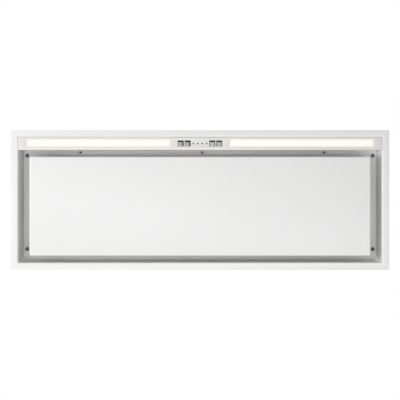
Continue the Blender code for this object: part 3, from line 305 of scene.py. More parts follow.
@dataclass(frozen=True)
class Moulded(Finish):
    """Moulded plastic with a spark-eroded grain."""

    grain_scale: float = 1500.0
    grain_depth: float = 0.04 * MM

    def paint(self, graph: Graph) -> None:
        """An even colour with faint flow marks, and the mould's grain."""
        flow = graph.noise(14.0, 3.0)
        graph.set(
            Base_Color=graph.mix(graph.remap(flow, 0, 1), shade(self.colour, 0.92), self.colour),
            Roughness=graph.remap(
                graph.noise(60.0, 3.0), self.roughness - 0.05, self.roughness + 0.07
            ),
            Specular_IOR_Level=0.45,
        )
        graph.bump(graph.noise(self.grain_scale, 2.0), self.grain_depth, 0.5)


@dataclass(frozen=True)
class LitLens(Finish):
    """A frosted, lit lens: nearly white over the light strip and warmer along its edges."""

    middle: Span = (0.0, 0.0)
    half_size: Span = (0.0, 0.0)
    edge: float = 4.5 * MM
    glow: float = 0.78
    edge_colour: Colour = (0.80, 0.74, 0.62)

    def paint(self, graph: Graph) -> None:
        """A glow that fades and warms toward the nearer edge of the lens."""
        parts = graph.add("ShaderNodeSeparateXYZ", {"Vector": graph.place})
        shares = []
        for axis, centre, half in zip(("X", "Y"), self.middle, self.half_size):
            size = graph.add("ShaderNodeMath", {0: parts.outputs[axis]}, operation="ABSOLUTE")
            away = graph.add("ShaderNodeMath", {0: size.outputs[0], 1: abs(centre)}, operation="SUBTRACT")
            off = graph.add("ShaderNodeMath", {0: away.outputs[0]}, operation="ABSOLUTE")
            shares.append(graph.remap(off.outputs[0], 1.0, 0.0, half - self.edge, half))
        near = graph.add("ShaderNodeMath", {0: shares[0], 1: shares[1]}, operation="MINIMUM")
        glow = graph.mix(near.outputs[0], self.edge_colour, self.colour)
        graph.set(
            Base_Color=(*shade(self.colour, 0.2), 1),
            Roughness=graph.remap(graph.noise(200.0, 2.0), self.roughness, self.roughness + 0.1),
            Emission_Color=glow,
            Emission_Strength=self.glow,
        )
        graph.bump(graph.noise(1300.0, 1.0), 0.02 * MM, 0.4)


@dataclass(frozen=True)
class SolderMask(Finish):
    """A circuit board: solder mask with raised copper tracks under it."""

    track_scale: float = 330.0

    def paint(self, graph: Graph) -> None:
        """Tracks as the borders of square cells, lighter and raised."""
        inputs = {"Vector": graph.place, "Scale": self.track_scale, "Randomness": 0.85}
        cells = graph.add("ShaderNodeTexVoronoi", inputs, distance="CHEBYCHEV")
        track = graph.remap(cells.outputs["Distance"], 0.0, 1.0, 0.44, 0.5)
        graph.set(
            Base_Color=graph.mix(track, self.colour, shade(self.colour, 1.9)),
            Roughness=graph.remap(graph.noise(90.0), self.roughness, self.roughness + 0.12),
            Specular_IOR_Level=0.55,
        )
        graph.bump(track, 0.03 * MM, 0.6)


@dataclass(frozen=True)
class Laminated(Finish):
    """Stamped sheets stacked along X, seen on their edges, or wire wound around X."""

    pitch: float = 0.6 * MM
    metallic: float = 0.9

    def paint(self, graph: Graph) -> None:
        """Fine lines across X in the colour and the relief."""
        inputs = {"Vector": graph.place, "Scale": 0.05 / self.pitch, "Distortion": 0.1}
        lines = graph.add("ShaderNodeTexWave", inputs, bands_direction="X").outputs["Fac"]
        graph.set(
            Base_Color=graph.mix(lines, shade(self.colour, 0.6), self.colour),
            Roughness=graph.remap(graph.noise(70.0, 3.0), self.roughness, self.roughness + 0.15),
            Metallic=self.metallic,
        )
        graph.bump(lines, 0.08 * MM, 0.7)


WHITE_LACQUER = PowderCoat("white_powder_coat", Slot.LACQUER, (0.86, 0.86, 0.85), 0.36)
PANEL_LACQUER = PowderCoat("panel_powder_coat", Slot.LACQUER, (0.835, 0.835, 0.83), 0.36)
HEADER_LACQUER = PowderCoat("header_powder_coat", Slot.LACQUER, (0.785, 0.775, 0.755), 0.36)
GALVANISED = Spangle("spangled_zinc", Slot.GALVANISED, (0.60, 0.62, 0.64), 0.42)
STEEL = BrushedMetal("drawn_steel", Slot.STEEL, (0.52, 0.53, 0.55), 0.34)
TURNED_STEEL = BrushedMetal("ground_shaft", Slot.STEEL, (0.62, 0.62, 0.63), 0.22, along=(24, 1, 1))
ALUMINIUM = BrushedMetal("drawn_aluminium", Slot.ALUMINIUM, (0.80, 0.81, 0.82), 0.32)
FOIL = BrushedMetal("expanded_foil", Slot.ALUMINIUM, (0.84, 0.85, 0.86), 0.26, 160.0, (1, 1, 1))
SCREW = BrushedMetal("blackened_screw", Slot.SCREW, (0.17, 0.17, 0.175), 0.42, 240.0, (1, 1, 1))
ZINC_SCREW = BrushedMetal("plated_screw", Slot.SCREW, (0.42, 0.42, 0.40), 0.3, 240.0, (1, 1, 1))
BLACK_PLASTIC = Moulded("black_moulding", Slot.BLACK_PLASTIC, (0.028, 0.028, 0.03), 0.5)
GREY_PLASTIC = Moulded("grey_moulding", Slot.BLACK_PLASTIC, (0.16, 0.16, 0.17), 0.5)
WHITE_PLASTIC = Moulded("white_moulding", Slot.WHITE_PLASTIC, (0.78, 0.78, 0.76), 0.45)
KEY_FACE = Moulded("key_face", Slot.BUTTON, (0.58, 0.59, 0.60), 0.4, 900.0, 0.02 * MM)
# Near-black key body, used as painted shade round the key faces.
KEY_PAINTED_SHADE = Moulded("key_rim", Slot.BUTTON, (0.012, 0.012, 0.014), 0.5, 900.0, 0.02 * MM)
KEY_MARK = Moulded("key_mark", Slot.BUTTON, (0.11, 0.11, 0.12), 0.5, 900.0, 0.01 * MM)
SMOKED = Moulded("smoked_light_guide", Slot.INDICATOR, (0.02, 0.02, 0.022), 0.45, 400.0, 0.01 * MM)
BOARD = SolderMask("solder_mask", Slot.BOARD, (0.012, 0.11, 0.045), 0.36)
LAMINATION = Laminated("stator_stack", Slot.STEEL, (0.36, 0.37, 0.39), 0.4)
COPPER = Laminated("copper_winding", Slot.STEEL, (0.66, 0.25, 0.10), 0.3, pitch=0.9 * MM)
BRASS = BrushedMetal("brass_terminal", Slot.STEEL, (0.70, 0.52, 0.22), 0.3, 200.0, (1, 1, 1))
PHOSPHOR = Moulded("led_phosphor", Slot.BOARD, (0.86, 0.68, 0.14), 0.4, 900.0, 0.01 * MM)


# --- Mesh tools -------------------------------------------------------------------------------
def span(centre: float, size: float) -> Span:
    """The two ends of a size about its centre."""
    return (centre - size / 2, centre + size / 2)


def grown(ends: Span, by: float) -> Span:
    """A span with both its ends moved out."""
    return (ends[0] - by, ends[1] + by)


def mirrored(ends: Span, side: Side) -> Span:
    """A span on the right side as it lies on a side."""
    return tuple(sorted(end * side.value for end in ends))


def block(x: Span, y: Span, z: Span) -> Mesh:
    """A block between two values on each axis."""
    low, high = (Vector(ends) for ends in zip(x, y, z))
    size = Matrix.Diagonal((*(high - low), 1))
    bm = bmesh.new()
    bmesh.ops.create_cube(bm, size=1, matrix=Matrix.Translation((low + high) / 2) @ size)
    return bm


def rod(axis: str, at: Span, ends: Span, radius: float, segments: int = 32, tip: float | None = None) -> Mesh:
    """A cylinder or a cone.

    Args:
        axis: The axis it lies along.
        at: Its centre on the other two axes.
        ends: Its two ends along the axis.
        radius: Its radius at the first end.
        segments: The number of its sides.
        tip: Its radius at the second end, if that isn't the same.

    Returns:
        The closed mesh.
    """
    middle = (ends[0] + ends[1]) / 2
    place = {
        "X": Matrix.Translation((middle, *at)) @ Matrix.Rotation(math.pi / 2, 4, "Y"),
        "Y": Matrix.Translation((at[0], middle, at[1])) @ Matrix.Rotation(-math.pi / 2, 4, "X"),
        "Z": Matrix.Translation((*at, middle)),
    }[axis]
    bm = bmesh.new()
    bmesh.ops.create_cone(
        bm,
        cap_ends=True,
        segments=segments,
        radius1=radius,
        radius2=radius if tip is None else tip,
        depth=ends[1] - ends[0],
        matrix=place,
    )
    return bm


def turned(profile: Sequence[Span], axis: str, centre: Vector, steps: int = 48) -> Mesh:
    """A closed turned shape.

    Args:
        profile: Its section as (distance along the axis, radius) points; a radius of 0 is a pole.
        axis: The axis it turns about.
        centre: A point of the axis, from which the distances count.
        steps: The number of its sides.

    Returns:
        The mesh, with its seam and poles closed and its faces outwards.
    """
    along = {"X": Vector((1, 0, 0)), "Y": Vector((0, 1, 0)), "Z": Vector((0, 0, 1))}[axis]
    out = Vector((0, 0, 1)) if axis != "Z" else Vector((1, 0, 0))
    bm = bmesh.new()
    verts = [bm.verts.new(centre + along * far + out * radius) for far, radius in profile]
    edges = [bm.edges.new(pair) for pair in zip(verts, verts[1:] + verts[:1])]
    bmesh.ops.spin(
        bm,
        geom=verts + edges,
        cent=centre,
        axis=along,
        angle=math.tau,
        steps=steps,
        use_merge=True,
    )
    return mended(bm)


def mended(bm: Mesh) -> Mesh:
    """Merges a mesh's doubles and turns its faces outwards."""
    bmesh.ops.remove_doubles(bm, verts=bm.verts, dist=0.001 * MM)
    bmesh.ops.recalc_face_normals(bm, faces=bm.faces)
    return bm


def ring_through(rectangles: Sequence[tuple[Span, Span, float]]) -> Mesh:
    """A closed ring with square corners, such as a frame's.

    Args:
        rectangles: The rectangles that its section passes, each (x, y, z), from one back to it.

    Returns:
        The ring's mesh.
    """
    bm = bmesh.new()
    (x, y, z), *others = [*rectangles, rectangles[0]]
    outline = ((x[0], y[0]), (x[1], y[0]), (x[1], y[1]), (x[0], y[1]))
    corners = [bm.verts.new((*point, z)) for point in outline]
    edges = [bm.edges.new((corners[i - 1], corners[i])) for i in range(4)]
    for next_x, next_y, next_z in others:
        made = bmesh.ops.extrude_edge_only(bm, edges=edges)["geom"]
        moved = {v for v in made if isinstance(v, bmesh.types.BMVert)}
        edges = [e for e in made if isinstance(e, bmesh.types.BMEdge) and set(e.verts) <= moved]
        for vert in moved:
            vert.co = (next_x[vert.co.x > sum(x) / 2], next_y[vert.co.y > sum(y) / 2], next_z)
        x, y = next_x, next_y
    return mended(bm)


def prism(outline: Iterable[Sequence[float]], axis: str, ends: Span) -> Mesh:
    """A flat outline given a depth.

    Args:
        outline: Its points on the other two axes, in their order.
        axis: The axis of its depth.
        ends: Its two ends on that axis.

    Returns:
        The closed mesh.
    """
    where = {"X": (1, 2, 0), "Y": (0, 2, 1), "Z": (0, 1, 2)}[axis]
    bm = bmesh.new()
    verts = []
    for first, second in outline:
        point = Vector()
        point[where[0]], point[where[1]], point[where[2]] = first, second, ends[0]
        verts.append(bm.verts.new(point))
    face = bmesh.ops.contextual_create(bm, geom=verts)["faces"]
    thick = bmesh.ops.extrude_face_region(bm, geom=face)["geom"]
    depth = Vector()
    depth[where[2]] = ends[1] - ends[0]
    moved = [v for v in thick if isinstance(v, bmesh.types.BMVert)]
    bmesh.ops.translate(bm, verts=moved, vec=depth)
    bmesh.ops.recalc_face_normals(bm, faces=bm.faces)
    return bm


def soften(bm: Mesh, width: float, segments: int = 2, where: Callable | None = None) -> Mesh:
    """Rounds a mesh's sharp edges.

    Args:
        bm: The mesh.
        width: How far from the edge the rounding starts.
        segments: The number of faces in it.
        where: Says of an edge whether it is one to round; all the sharp ones, if it isn't given.

    Returns:
        The same mesh.
    """
    sharp = [
        e
        for e in bm.edges
        if len(e.link_faces) == 2
        and e.calc_face_angle(0.0) > math.radians(28)
        and (where is None or where(e))
    ]
    bmesh.ops.bevel(
        bm,
        geom=sharp,
        offset=width,
        offset_type="OFFSET",
        segments=segments,
        profile=0.5,
        affect="EDGES",
        material=-1,
        clamp_overlap=True,
    )
    return bm


def fold(axis: int, at: Sequence[float], reach: float = 0.05 * MM) -> Callable:
    """Finds the edges of a fold.

    Args:
        axis: The axis that the fold runs along: 0, 1 or 2.
        at: Its place on the other two axes; None is any place.
        reach: How far off that place an edge still counts.

    Returns:
        A test of an edge, for soften().
    """
    others = [i for i in range(3) if i != axis]

    def test(edge: bmesh.types.BMEdge) -> bool:
        """Whether the edge runs along the fold."""
        return all(
            place is None or abs(vert.co[i] - place) < reach
            for vert in edge.verts
            for i, place in zip(others, at)
        ) and abs(edge.verts[0].co[axis] - edge.verts[1].co[axis]) > reach

    return test


def runs_along(edge: bmesh.types.BMEdge, axis: int) -> bool:
    """Whether an edge runs along an axis: 0, 1 or 2."""
    way = edge.verts[0].co - edge.verts[1].co
    return abs(way[axis]) > 0.9 * way.length


def swung(bm: Mesh, centre: Vector, step: int, count: int) -> Mesh:
    """Turns a mesh about X to one of a count of even steps, then moves it to a centre."""
    turn = Matrix.Rotation(math.tau * step / count, 4, "X")
    bmesh.ops.transform(bm, matrix=Matrix.Translation(centre) @ turn, verts=bm.verts)
    return bm


def joined(first: Mesh, *others: Mesh) -> Mesh:
    """Puts other meshes into the first as islands of their own."""
    for other in others:
        mesh = bpy.data.meshes.new("island")
        other.to_mesh(mesh)
        other.free()
        first.from_mesh(mesh)
        bpy.data.meshes.remove(mesh)
    return first


def tinted(bm: Mesh, index: int) -> Mesh:
    """Gives all of a mesh's faces one of its piece's finishes."""
    for face in bm.faces:
        face.material_index = index
    return bm


@dataclass
class Bench:
    """Where pieces are taken from the frame, and put into the scene."""

    frame: dict
    count: int = 0

    def box(self, node: str) -> tuple[Span, Span, Span]:
        """A node's ends on each axis."""
        low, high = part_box(node)
        return tuple(zip(low, high))

    def copy(self, node: str) -> Mesh:
        """A copy of a node's mesh, with its triangles merged into whole flat faces."""
        bm = bmesh.new()
        bm.from_mesh(self.frame["nodes"][node].data)
        bmesh.ops.remove_doubles(bm, verts=bm.verts, dist=0.001 * MM)
        bmesh.ops.dissolve_limit(
            bm,
            angle_limit=math.radians(0.5),
            use_dissolve_boundaries=False,
            verts=bm.verts,
            edges=bm.edges,
        )
        for face in bm.faces:
            face.material_index = 0
        return bm

    def place(
        self,
        name: str,
        bm: Mesh,
        finishes: Finish | Sequence[Finish],
        node: str,
        *others: str,
        stands_for: bool = True,
    ) -> bpy.types.Object:
        """Makes a finished mesh a piece of the hood.

        Args:
            name: The piece's name.
            bm: Its mesh, in the hood's frame.
            finishes: Its finish, or one for each of its material indices.
            node: The CAD node whose body it rides on, and which it replaces.
            others: Other nodes that it replaces.
            stands_for: Whether it replaces them at all.

        Returns:
            The piece's object.
        """
        several = [finishes] if isinstance(finishes, Finish) else list(finishes)
        bmesh.ops.dissolve_degenerate(bm, dist=0.002 * MM, edges=bm.edges)
        mesh = bpy.data.meshes.new(name)
        bm.to_mesh(mesh)
        bm.free()
        for finish in several:
            mesh.materials.append(finish.material())
        mesh.shade_smooth()
        mesh.set_sharp_from_angle(angle=math.radians(32))
        piece = bpy.data.objects.new(name, mesh)
        bpy.context.scene.collection.objects.link(piece)
        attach(piece, self.frame["nodes"][node]["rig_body"])
        if stands_for:
            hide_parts(node, *others)
        self.count += 1
        LOG.info("%s: %d faces", name, len(mesh.polygons))
        return piece


# --- Frame, tray and header -------------------------------------------------------------------
@dataclass
class FrameRing:
    """The outer frame: a flange that rolls into four walls, with a ledge behind the front seam."""

    bench: Bench
    sheet: float = 1.2 * MM
    flange: float = 16.5 * MM
    roll: float = 2.4 * MM
    roll_steps: int = 6
    corner_roll: float = 1.6 * MM
    ledge_z: Span = (2.6 * MM, 3.8 * MM)
    ledge_reach: float = 2.5 * MM
    edge: float = 0.35 * MM
    fillet: Span = (0.8 * MM, 9.0 * MM)
    fillet_start: float = 7.0 * MM
    fillet_steps: int = 6

    def build(self) -> None:
        """Builds the frame in place of its CAD node."""
        x, y, _ = self.bench.box("outer_frame")
        ceiling = self.bench.box("recess_tray")[2][0]
        bm = ring_through([(grown(x, by), grown(y, by), high) for by, high in self.section(ceiling)])
        self.add_ledge(bm, y[0] + self.flange)
        wall = self.roll + 2 * self.sheet
        soften(bm, self.corner_roll, 4, lambda e: self.is_wall_corner(e, wall))
        soften(bm, self.edge, 2, lambda e: not self.is_wall_corner(e, 0))
        for side in Side:
            wall_x = side.end(grown(x, -self.flange))
            joined(bm, self.corner_fillet(side, (wall_x, y[1] - self.flange), ceiling))
        self.bench.place("frame_ring", bm, WHITE_LACQUER, "outer_frame")

    def corner_fillet(self, side: Side, corner: Span, top: float) -> Mesh:
        """The hollow fillet up a rear corner, which widens toward the ceiling.

        Args:
            side: The side of the frame.
            corner: Where the two walls meet.
            top: The ceiling's height.

        Returns:
            The fillet's mesh.
        """
        low, high = self.fillet
        outline = [corner]
        for step in range(self.fillet_steps + 1):
            turn = math.pi / 2 * step / self.fillet_steps
            back = (low * (1 - math.sin(turn)), low * (1 - math.cos(turn)))
            outline.append((corner[0] - side.value * back[0], corner[1] - back[1]))
        bm = prism(outline, "Z", (self.fillet_start, top))
        for vert in bm.verts:
            if vert.co.z > self.fillet_start + self.sheet:
                vert.co.x = corner[0] + (vert.co.x - corner[0]) * high / low
                vert.co.y = corner[1] + (vert.co.y - corner[1]) * high / low
        bmesh.ops.recalc_face_normals(bm, faces=bm.faces)
        return bm

    def section(self, top: float) -> list[Span]:
        """The section's (distance out from the flange's rim, height) points, all round it."""
        arc = [self.arc_point(step, self.roll) for step in range(self.roll_steps + 1)]
        back = [self.arc_point(step, self.roll - self.sheet) for step in range(self.roll_steps + 1)]
        walls = [(-self.flange, high) for high in (*self.ledge_z, top)]
        outer = [(self.sheet - self.flange, top)]
        return [(0.0, 0.0), *arc, *walls, *outer, *reversed(back), (0.0, self.sheet)]

    def arc_point(self, step: int, radius: float) -> Span:
        """A point of the roll between the flange and a wall."""
        turn = math.pi / 2 * step / self.roll_steps
        centre = self.roll - self.flange
        return (centre - radius * math.sin(turn), self.roll - radius * math.cos(turn))

    def add_ledge(self, bm: Mesh, wall_y: float) -> None:
        """Pushes the ledge out of the front wall's inner face."""
        middle = sum(self.ledge_z) / 2
        faces = [
            f
            for f in bm.faces
            if f.normal.y > 0.9
            and abs(f.calc_center_median().z - middle) < 0.1 * MM
            and abs(f.calc_center_median().y - wall_y) < 0.1 * MM
        ]
        made = bmesh.ops.extrude_face_region(bm, geom=faces)["geom"]
        moved = [v for v in made if isinstance(v, bmesh.types.BMVert)]
        bmesh.ops.translate(bm, verts=moved, vec=(0, self.ledge_reach, 0))
        bmesh.ops.delete(bm, geom=faces, context="FACES")

    def is_wall_corner(self, edge: bmesh.types.BMEdge, above: float) -> bool:
        """Whether an edge is an upright corner of the walls, above a height."""
        low, high = sorted(vert.co.z for vert in edge.verts)
        along = (edge.verts[0].co - edge.verts[1].co).to_2d().length
        return low >= above and high - low > self.sheet and along < 0.1 * MM


@dataclass
class Recess:
    """The recess's ceiling: the tray with its filter bay, and the screws that hold it."""

    bench: Bench
    edge: float = 0.25 * MM
    head_height: float = 2.3 * MM
    socket_depth: float = 1.5 * MM
    lobe: float = 0.13

    def build(self) -> None:
        """Builds the tray and every screw that shows in the recess."""
        bm = soften(self.bench.copy("recess_tray"), self.edge)
        self.bench.place("tray_pressing", bm, WHITE_LACQUER, "recess_tray")
        for side in Side:
            for end in ("front", "rear"):
                self.screw(f"corner_screw_{end}_{side.label}", 0.56)
        for name in ("left", "middle", "right"):
            self.screw(f"header_screw_{name}", 0.5)

    def screw(self, node: str, socket_share: float) -> None:
        """A pan-head screw with a six-lobed socket in its face, and a threaded shank.

        Args:
            node: The CAD node it stands for.
            socket_share: The socket's radius as a share of the head's.
        """
        x, y, z = self.bench.box(node)
        centre = Vector((sum(x) / 2, sum(y) / 2, z[0]))
        radius = (x[1] - x[0]) / 2
        head = self.head_height
        shank = self.shank_radius(node, z[0] + 2 * head)
        profile = [(0.0, 0.0), (0.0, radius * socket_share)]
        dome = [(math.radians(angle)) for angle in range(0, 91, 18)]
        rim = radius * (1 - socket_share)
        profile += [
            (0.7 * head * (1 - math.cos(turn)), radius * socket_share + rim * math.sin(turn))
            for turn in dome[1:]
        ]
        profile += [(head, radius), (head, shank)]
        length = z[1] - z[0]
        pitch = shank * 0.7
        turns = int((length - head - pitch) / pitch)
        for turn in range(turns):
            start = head + turn * pitch
            profile += [(start + 0.25 * pitch, shank * 0.78), (start + 0.75 * pitch, shank)]
        profile += [(length - 0.3 * pitch, shank * 0.7), (length, shank * 0.25), (length, 0.0)]
        bm = turned(profile, "Z", centre, 24)
        self.press_socket(bm, centre, radius * socket_share)
        self.bench.place(node + "_turned", bm, SCREW, node)

    def shank_radius(self, node: str, height: float) -> float:
        """The radius of a screw's shank, from the CAD mesh above its head."""
        data = self.bench.frame["nodes"][node].data
        high = [v.co for v in data.vertices if v.co.z > height]
        return (max(co.x for co in high) - min(co.x for co in high)) / 2

    def press_socket(self, bm: Mesh, centre: Vector, radius: float) -> None:
        """Sinks a six-lobed socket into the flat middle of a screw's head."""
        faces = [
            f
            for f in bm.faces
            if f.normal.z < -0.99 and (f.calc_center_median() - centre).to_2d().length < radius
            and abs(f.calc_center_median().z - centre.z) < 0.01 * MM
        ]
        made = bmesh.ops.inset_region(bm, faces=faces, thickness=0.22 * radius, depth=0.0)
        rim = {v for f in faces for v in f.verts}
        for vert in rim:
            away = (vert.co - centre).to_2d()
            if away.length > 0.1 * radius:
                share = 1 + self.lobe * math.cos(6 * math.atan2(away.y, away.x))
                vert.co.x = centre.x + away.x * share
                vert.co.y = centre.y + away.y * share
        made = bmesh.ops.extrude_face_region(bm, geom=faces)["geom"]
        moved = [v for v in made if isinstance(v, bmesh.types.BMVert)]
        bmesh.ops.translate(bm, verts=moved, vec=(0, 0, self.socket_depth))
        bmesh.ops.delete(bm, geom=faces, context="FACES")


@dataclass
class Header:
    """The strip along the front that holds the lights and the keys."""

    bench: Bench
    fold_roll: float = 1.3 * MM
    edge: float = 0.22 * MM
    lens_edge: float = 0.3 * MM
    tray_edge: float = 0.25 * MM

    def build(self) -> None:
        """Builds the strip, then the lights behind its windows."""
        bm = self.bench.copy("header_strip")
        leg_y = self.leg_y(bm)
        soften(bm, self.fold_roll, 5, fold(0, (leg_y, 0.0)))
        soften(bm, self.edge)
        self.bench.place("header_pressing", bm, HEADER_LACQUER, "header_strip")
        for side in Side:
            self.light(side)

    def leg_y(self, bm: Mesh) -> float:
        """Where the strip's face turns up into its leg."""
        return max(vert.co.y for vert in bm.verts if vert.co.z < 0.01 * MM)

    def light(self, side: Side) -> None:
        """One light: its lens, its reflector and its strip of light sources."""
        label = side.label
        lens = f"light_lens_{label}"
        x, y, _ = self.bench.box(lens)
        finish = LitLens(
            f"lit_lens_{label}",
            Slot.LENS,
            (1.0, 1.0, 0.93),
            0.45,
            middle=(sum(x) / 2, sum(y) / 2),
            half_size=((x[1] - x[0]) / 2 - 1.2 * MM, (y[1] - y[0]) / 2 - 1.2 * MM),
        )
        self.bench.place(f"lens_{label}", soften(self.bench.copy(lens), self.lens_edge, 3), finish, lens)
        tray = f"light_tray_{label}"
        bm = soften(self.bench.copy(tray), self.tray_edge)
        self.bench.place(f"reflector_{label}", bm, ALUMINIUM, tray)
        self.strip(label)

    def strip(self, label: str) -> None:
        """The board with its row of light sources, each a white body with a yellow face."""
        node = f"led_strip_{label}"
        bm = self.bench.copy(node)
        low = min(v.co.z for v in bm.verts)
        faces = [f for f in bm.faces if f.normal.z < -0.9 and f.calc_center_median().z < low + 0.1 * MM]
        for face in bm.faces:
            if face.calc_center_median().z < low + 1.5 * MM:
                face.material_index = 1
        bmesh.ops.inset_individual(bm, faces=faces, thickness=0.8 * MM, depth=-0.25 * MM)
        for face in faces:
            face.material_index = 2
        self.bench.place(f"light_strip_{label}", bm, (BOARD, WHITE_PLASTIC, PHOSPHOR), node)


@dataclass
class Keys:
    """The controls: four keys, four indicator dots, the board behind them and its cover."""

    bench: Bench
    # Widths of the painted shade that the near-black cap shows round each key's face: front, far side, near
    # side and rear.
    front_bar: float = 3.8 * MM
    far_bar: float = 3.1 * MM
    near_bar: float = 0.8 * MM
    rear_bar: float = 0.5 * MM
    face_rise: float = 0.15 * MM
    mark_rise: float = 0.05 * MM
    mark_width: float = 0.8 * MM
    edge: float = 0.3 * MM
    cap: float = 13.5 * MM
    board_sheet: float = 1.6 * MM

    def build(self) -> None:
        """Builds the keys, then what is behind them."""
        marks = {
            "button_light": (self.sun_mark, self.near_bar, self.far_bar),
            "button_power": (self.power_mark, self.near_bar, self.far_bar),
            "button_slower": (self.minus_mark, self.near_bar * 1.9, self.near_bar * 1.9),
            "button_faster": (self.plus_mark, self.near_bar * 1.9, self.near_bar * 1.9),
        }
        for node, (mark, left_bar, right_bar) in marks.items():
            self.key(node, mark, left_bar, right_bar)
        guide = soften(self.bench.copy("indicator_light_guide"), self.edge / 2)
        self.bench.place("indicator_dots", guide, SMOKED, "indicator_light_guide")
        self.board()
        cover = soften(self.bench.copy("control_cover"), self.edge, 3)
        self.bench.place("controls_cover", self.ribbed(cover), GREY_PLASTIC, "control_cover")

    def key(self, node: str, mark: Callable, left_bar: float, right_bar: float) -> None:
        """One key: a near-black cap with a light face set off-centre in it, and a mark on the face; the band
        of cap left round the face is painted shade, widest at the front.

        Args:
            node: The CAD node it stands for.
            mark: Makes its mark about a centre.
            left_bar: How wide the band of painted shade is at the left.
            right_bar: How wide it is at the right.
        """
        x, y, z = self.bench.box(node)
        middle = (sum(x) / 2, sum(y) / 2)
        bm = self.bench.copy(node)
        low = [v for v in bm.verts if v.co.z < z[0] + 0.1 * MM]
        bmesh.ops.translate(bm, verts=low, vec=(0, 0, self.face_rise))
        soften(bm, self.edge, 3)
        cap_x = span(middle[0], self.cap)
        cap_y = span(middle[1], self.cap)
        face_x = (cap_x[0] + left_bar, cap_x[1] - right_bar)
        face_y = (cap_y[0] + self.front_bar, cap_y[1] - self.rear_bar)
        plate = block(face_x, face_y, (z[0] + self.mark_rise, z[0] + 2 * self.face_rise))
        soften(plate, 0.1 * MM, 2)
        centre = (sum(face_x) / 2, sum(face_y) / 2)
        glyph = mark(centre, (z[0], z[0] + self.face_rise))
        joined(bm, tinted(plate, 1), tinted(glyph, 2))
        self.bench.place(node.replace("button", "key"), bm, (KEY_PAINTED_SHADE, KEY_FACE, KEY_MARK), node)

    def ring(self, centre: Span, z: Span, radius: float) -> Mesh:
        """A thin flat ring."""
        half = self.mark_width / 2
        depth = z[1] - z[0]
        profile = [(0, radius - half), (0, radius + half), (depth, radius + half), (depth, radius - half)]
        return turned(profile, "Z", Vector((*centre, z[0])), 24)

    def bar(self, centre: Span, z: Span, size: Span) -> Mesh:
        """A thin flat bar."""
        return block(span(centre[0], size[0]), span(centre[1], size[1]), z)

    def sun_mark(self, centre: Span, z: Span) -> Mesh:
        """A lamp's mark: a ring with a ray on each of its four sides."""
        bm = self.ring(centre, z, 1.5 * MM)
        for step in range(4):
            away = Vector((0, 3.0 * MM)) @ Matrix.Rotation(math.pi / 2 * step, 2)
            size = (self.mark_width, 1.2 * MM) if step % 2 == 0 else (1.2 * MM, self.mark_width)
            joined(bm, self.bar((centre[0] + away.x, centre[1] + away.y), z, size))
        return bm

    def power_mark(self, centre: Span, z: Span) -> Mesh:
        """A power mark: a ring and an upright bar."""
        bar = self.bar((centre[0], centre[1] - 1.6 * MM), z, (self.mark_width, 2.4 * MM))
        return joined(self.ring(centre, z, 2.3 * MM), bar)

    def minus_mark(self, centre: Span, z: Span) -> Mesh:
        """A minus sign."""
        return self.bar(centre, z, (5.0 * MM, self.mark_width))

    def plus_mark(self, centre: Span, z: Span) -> Mesh:
        """A plus sign."""
        size = 5.0 * MM
        tall = self.bar(centre, z, (self.mark_width, size))
        return joined(self.bar(centre, z, (size, self.mark_width)), tall)

    def board(self) -> None:
        """The control board, with white switches and small lights under it."""
        bm = self.bench.copy("control_board")
        plate = self.bench.box("control_board")[2][1] - self.board_sheet
        for face in bm.faces:
            if face.calc_center_median().z < plate - 0.1 * MM:
                face.material_index = 1
        soften(bm, 0.15 * MM)
        self.bench.place("controls_board", bm, (BOARD, WHITE_PLASTIC), "control_board")

    def ribbed(self, bm: Mesh) -> Mesh:
        """Adds shallow ribs along the cover's outside top."""
        x, y, z = self.bench.box("control_cover")
        inner = grown(x, -8 * MM)
        for step in range(5):
            at = y[0] + (y[1] - y[0]) * (step + 1) / 6
            rib = block(inner, span(at, 1.2 * MM), (z[1] - 0.4 * MM, z[1] + 0.4 * MM))
            joined(bm, soften(rib, 0.2 * MM))
        return bm


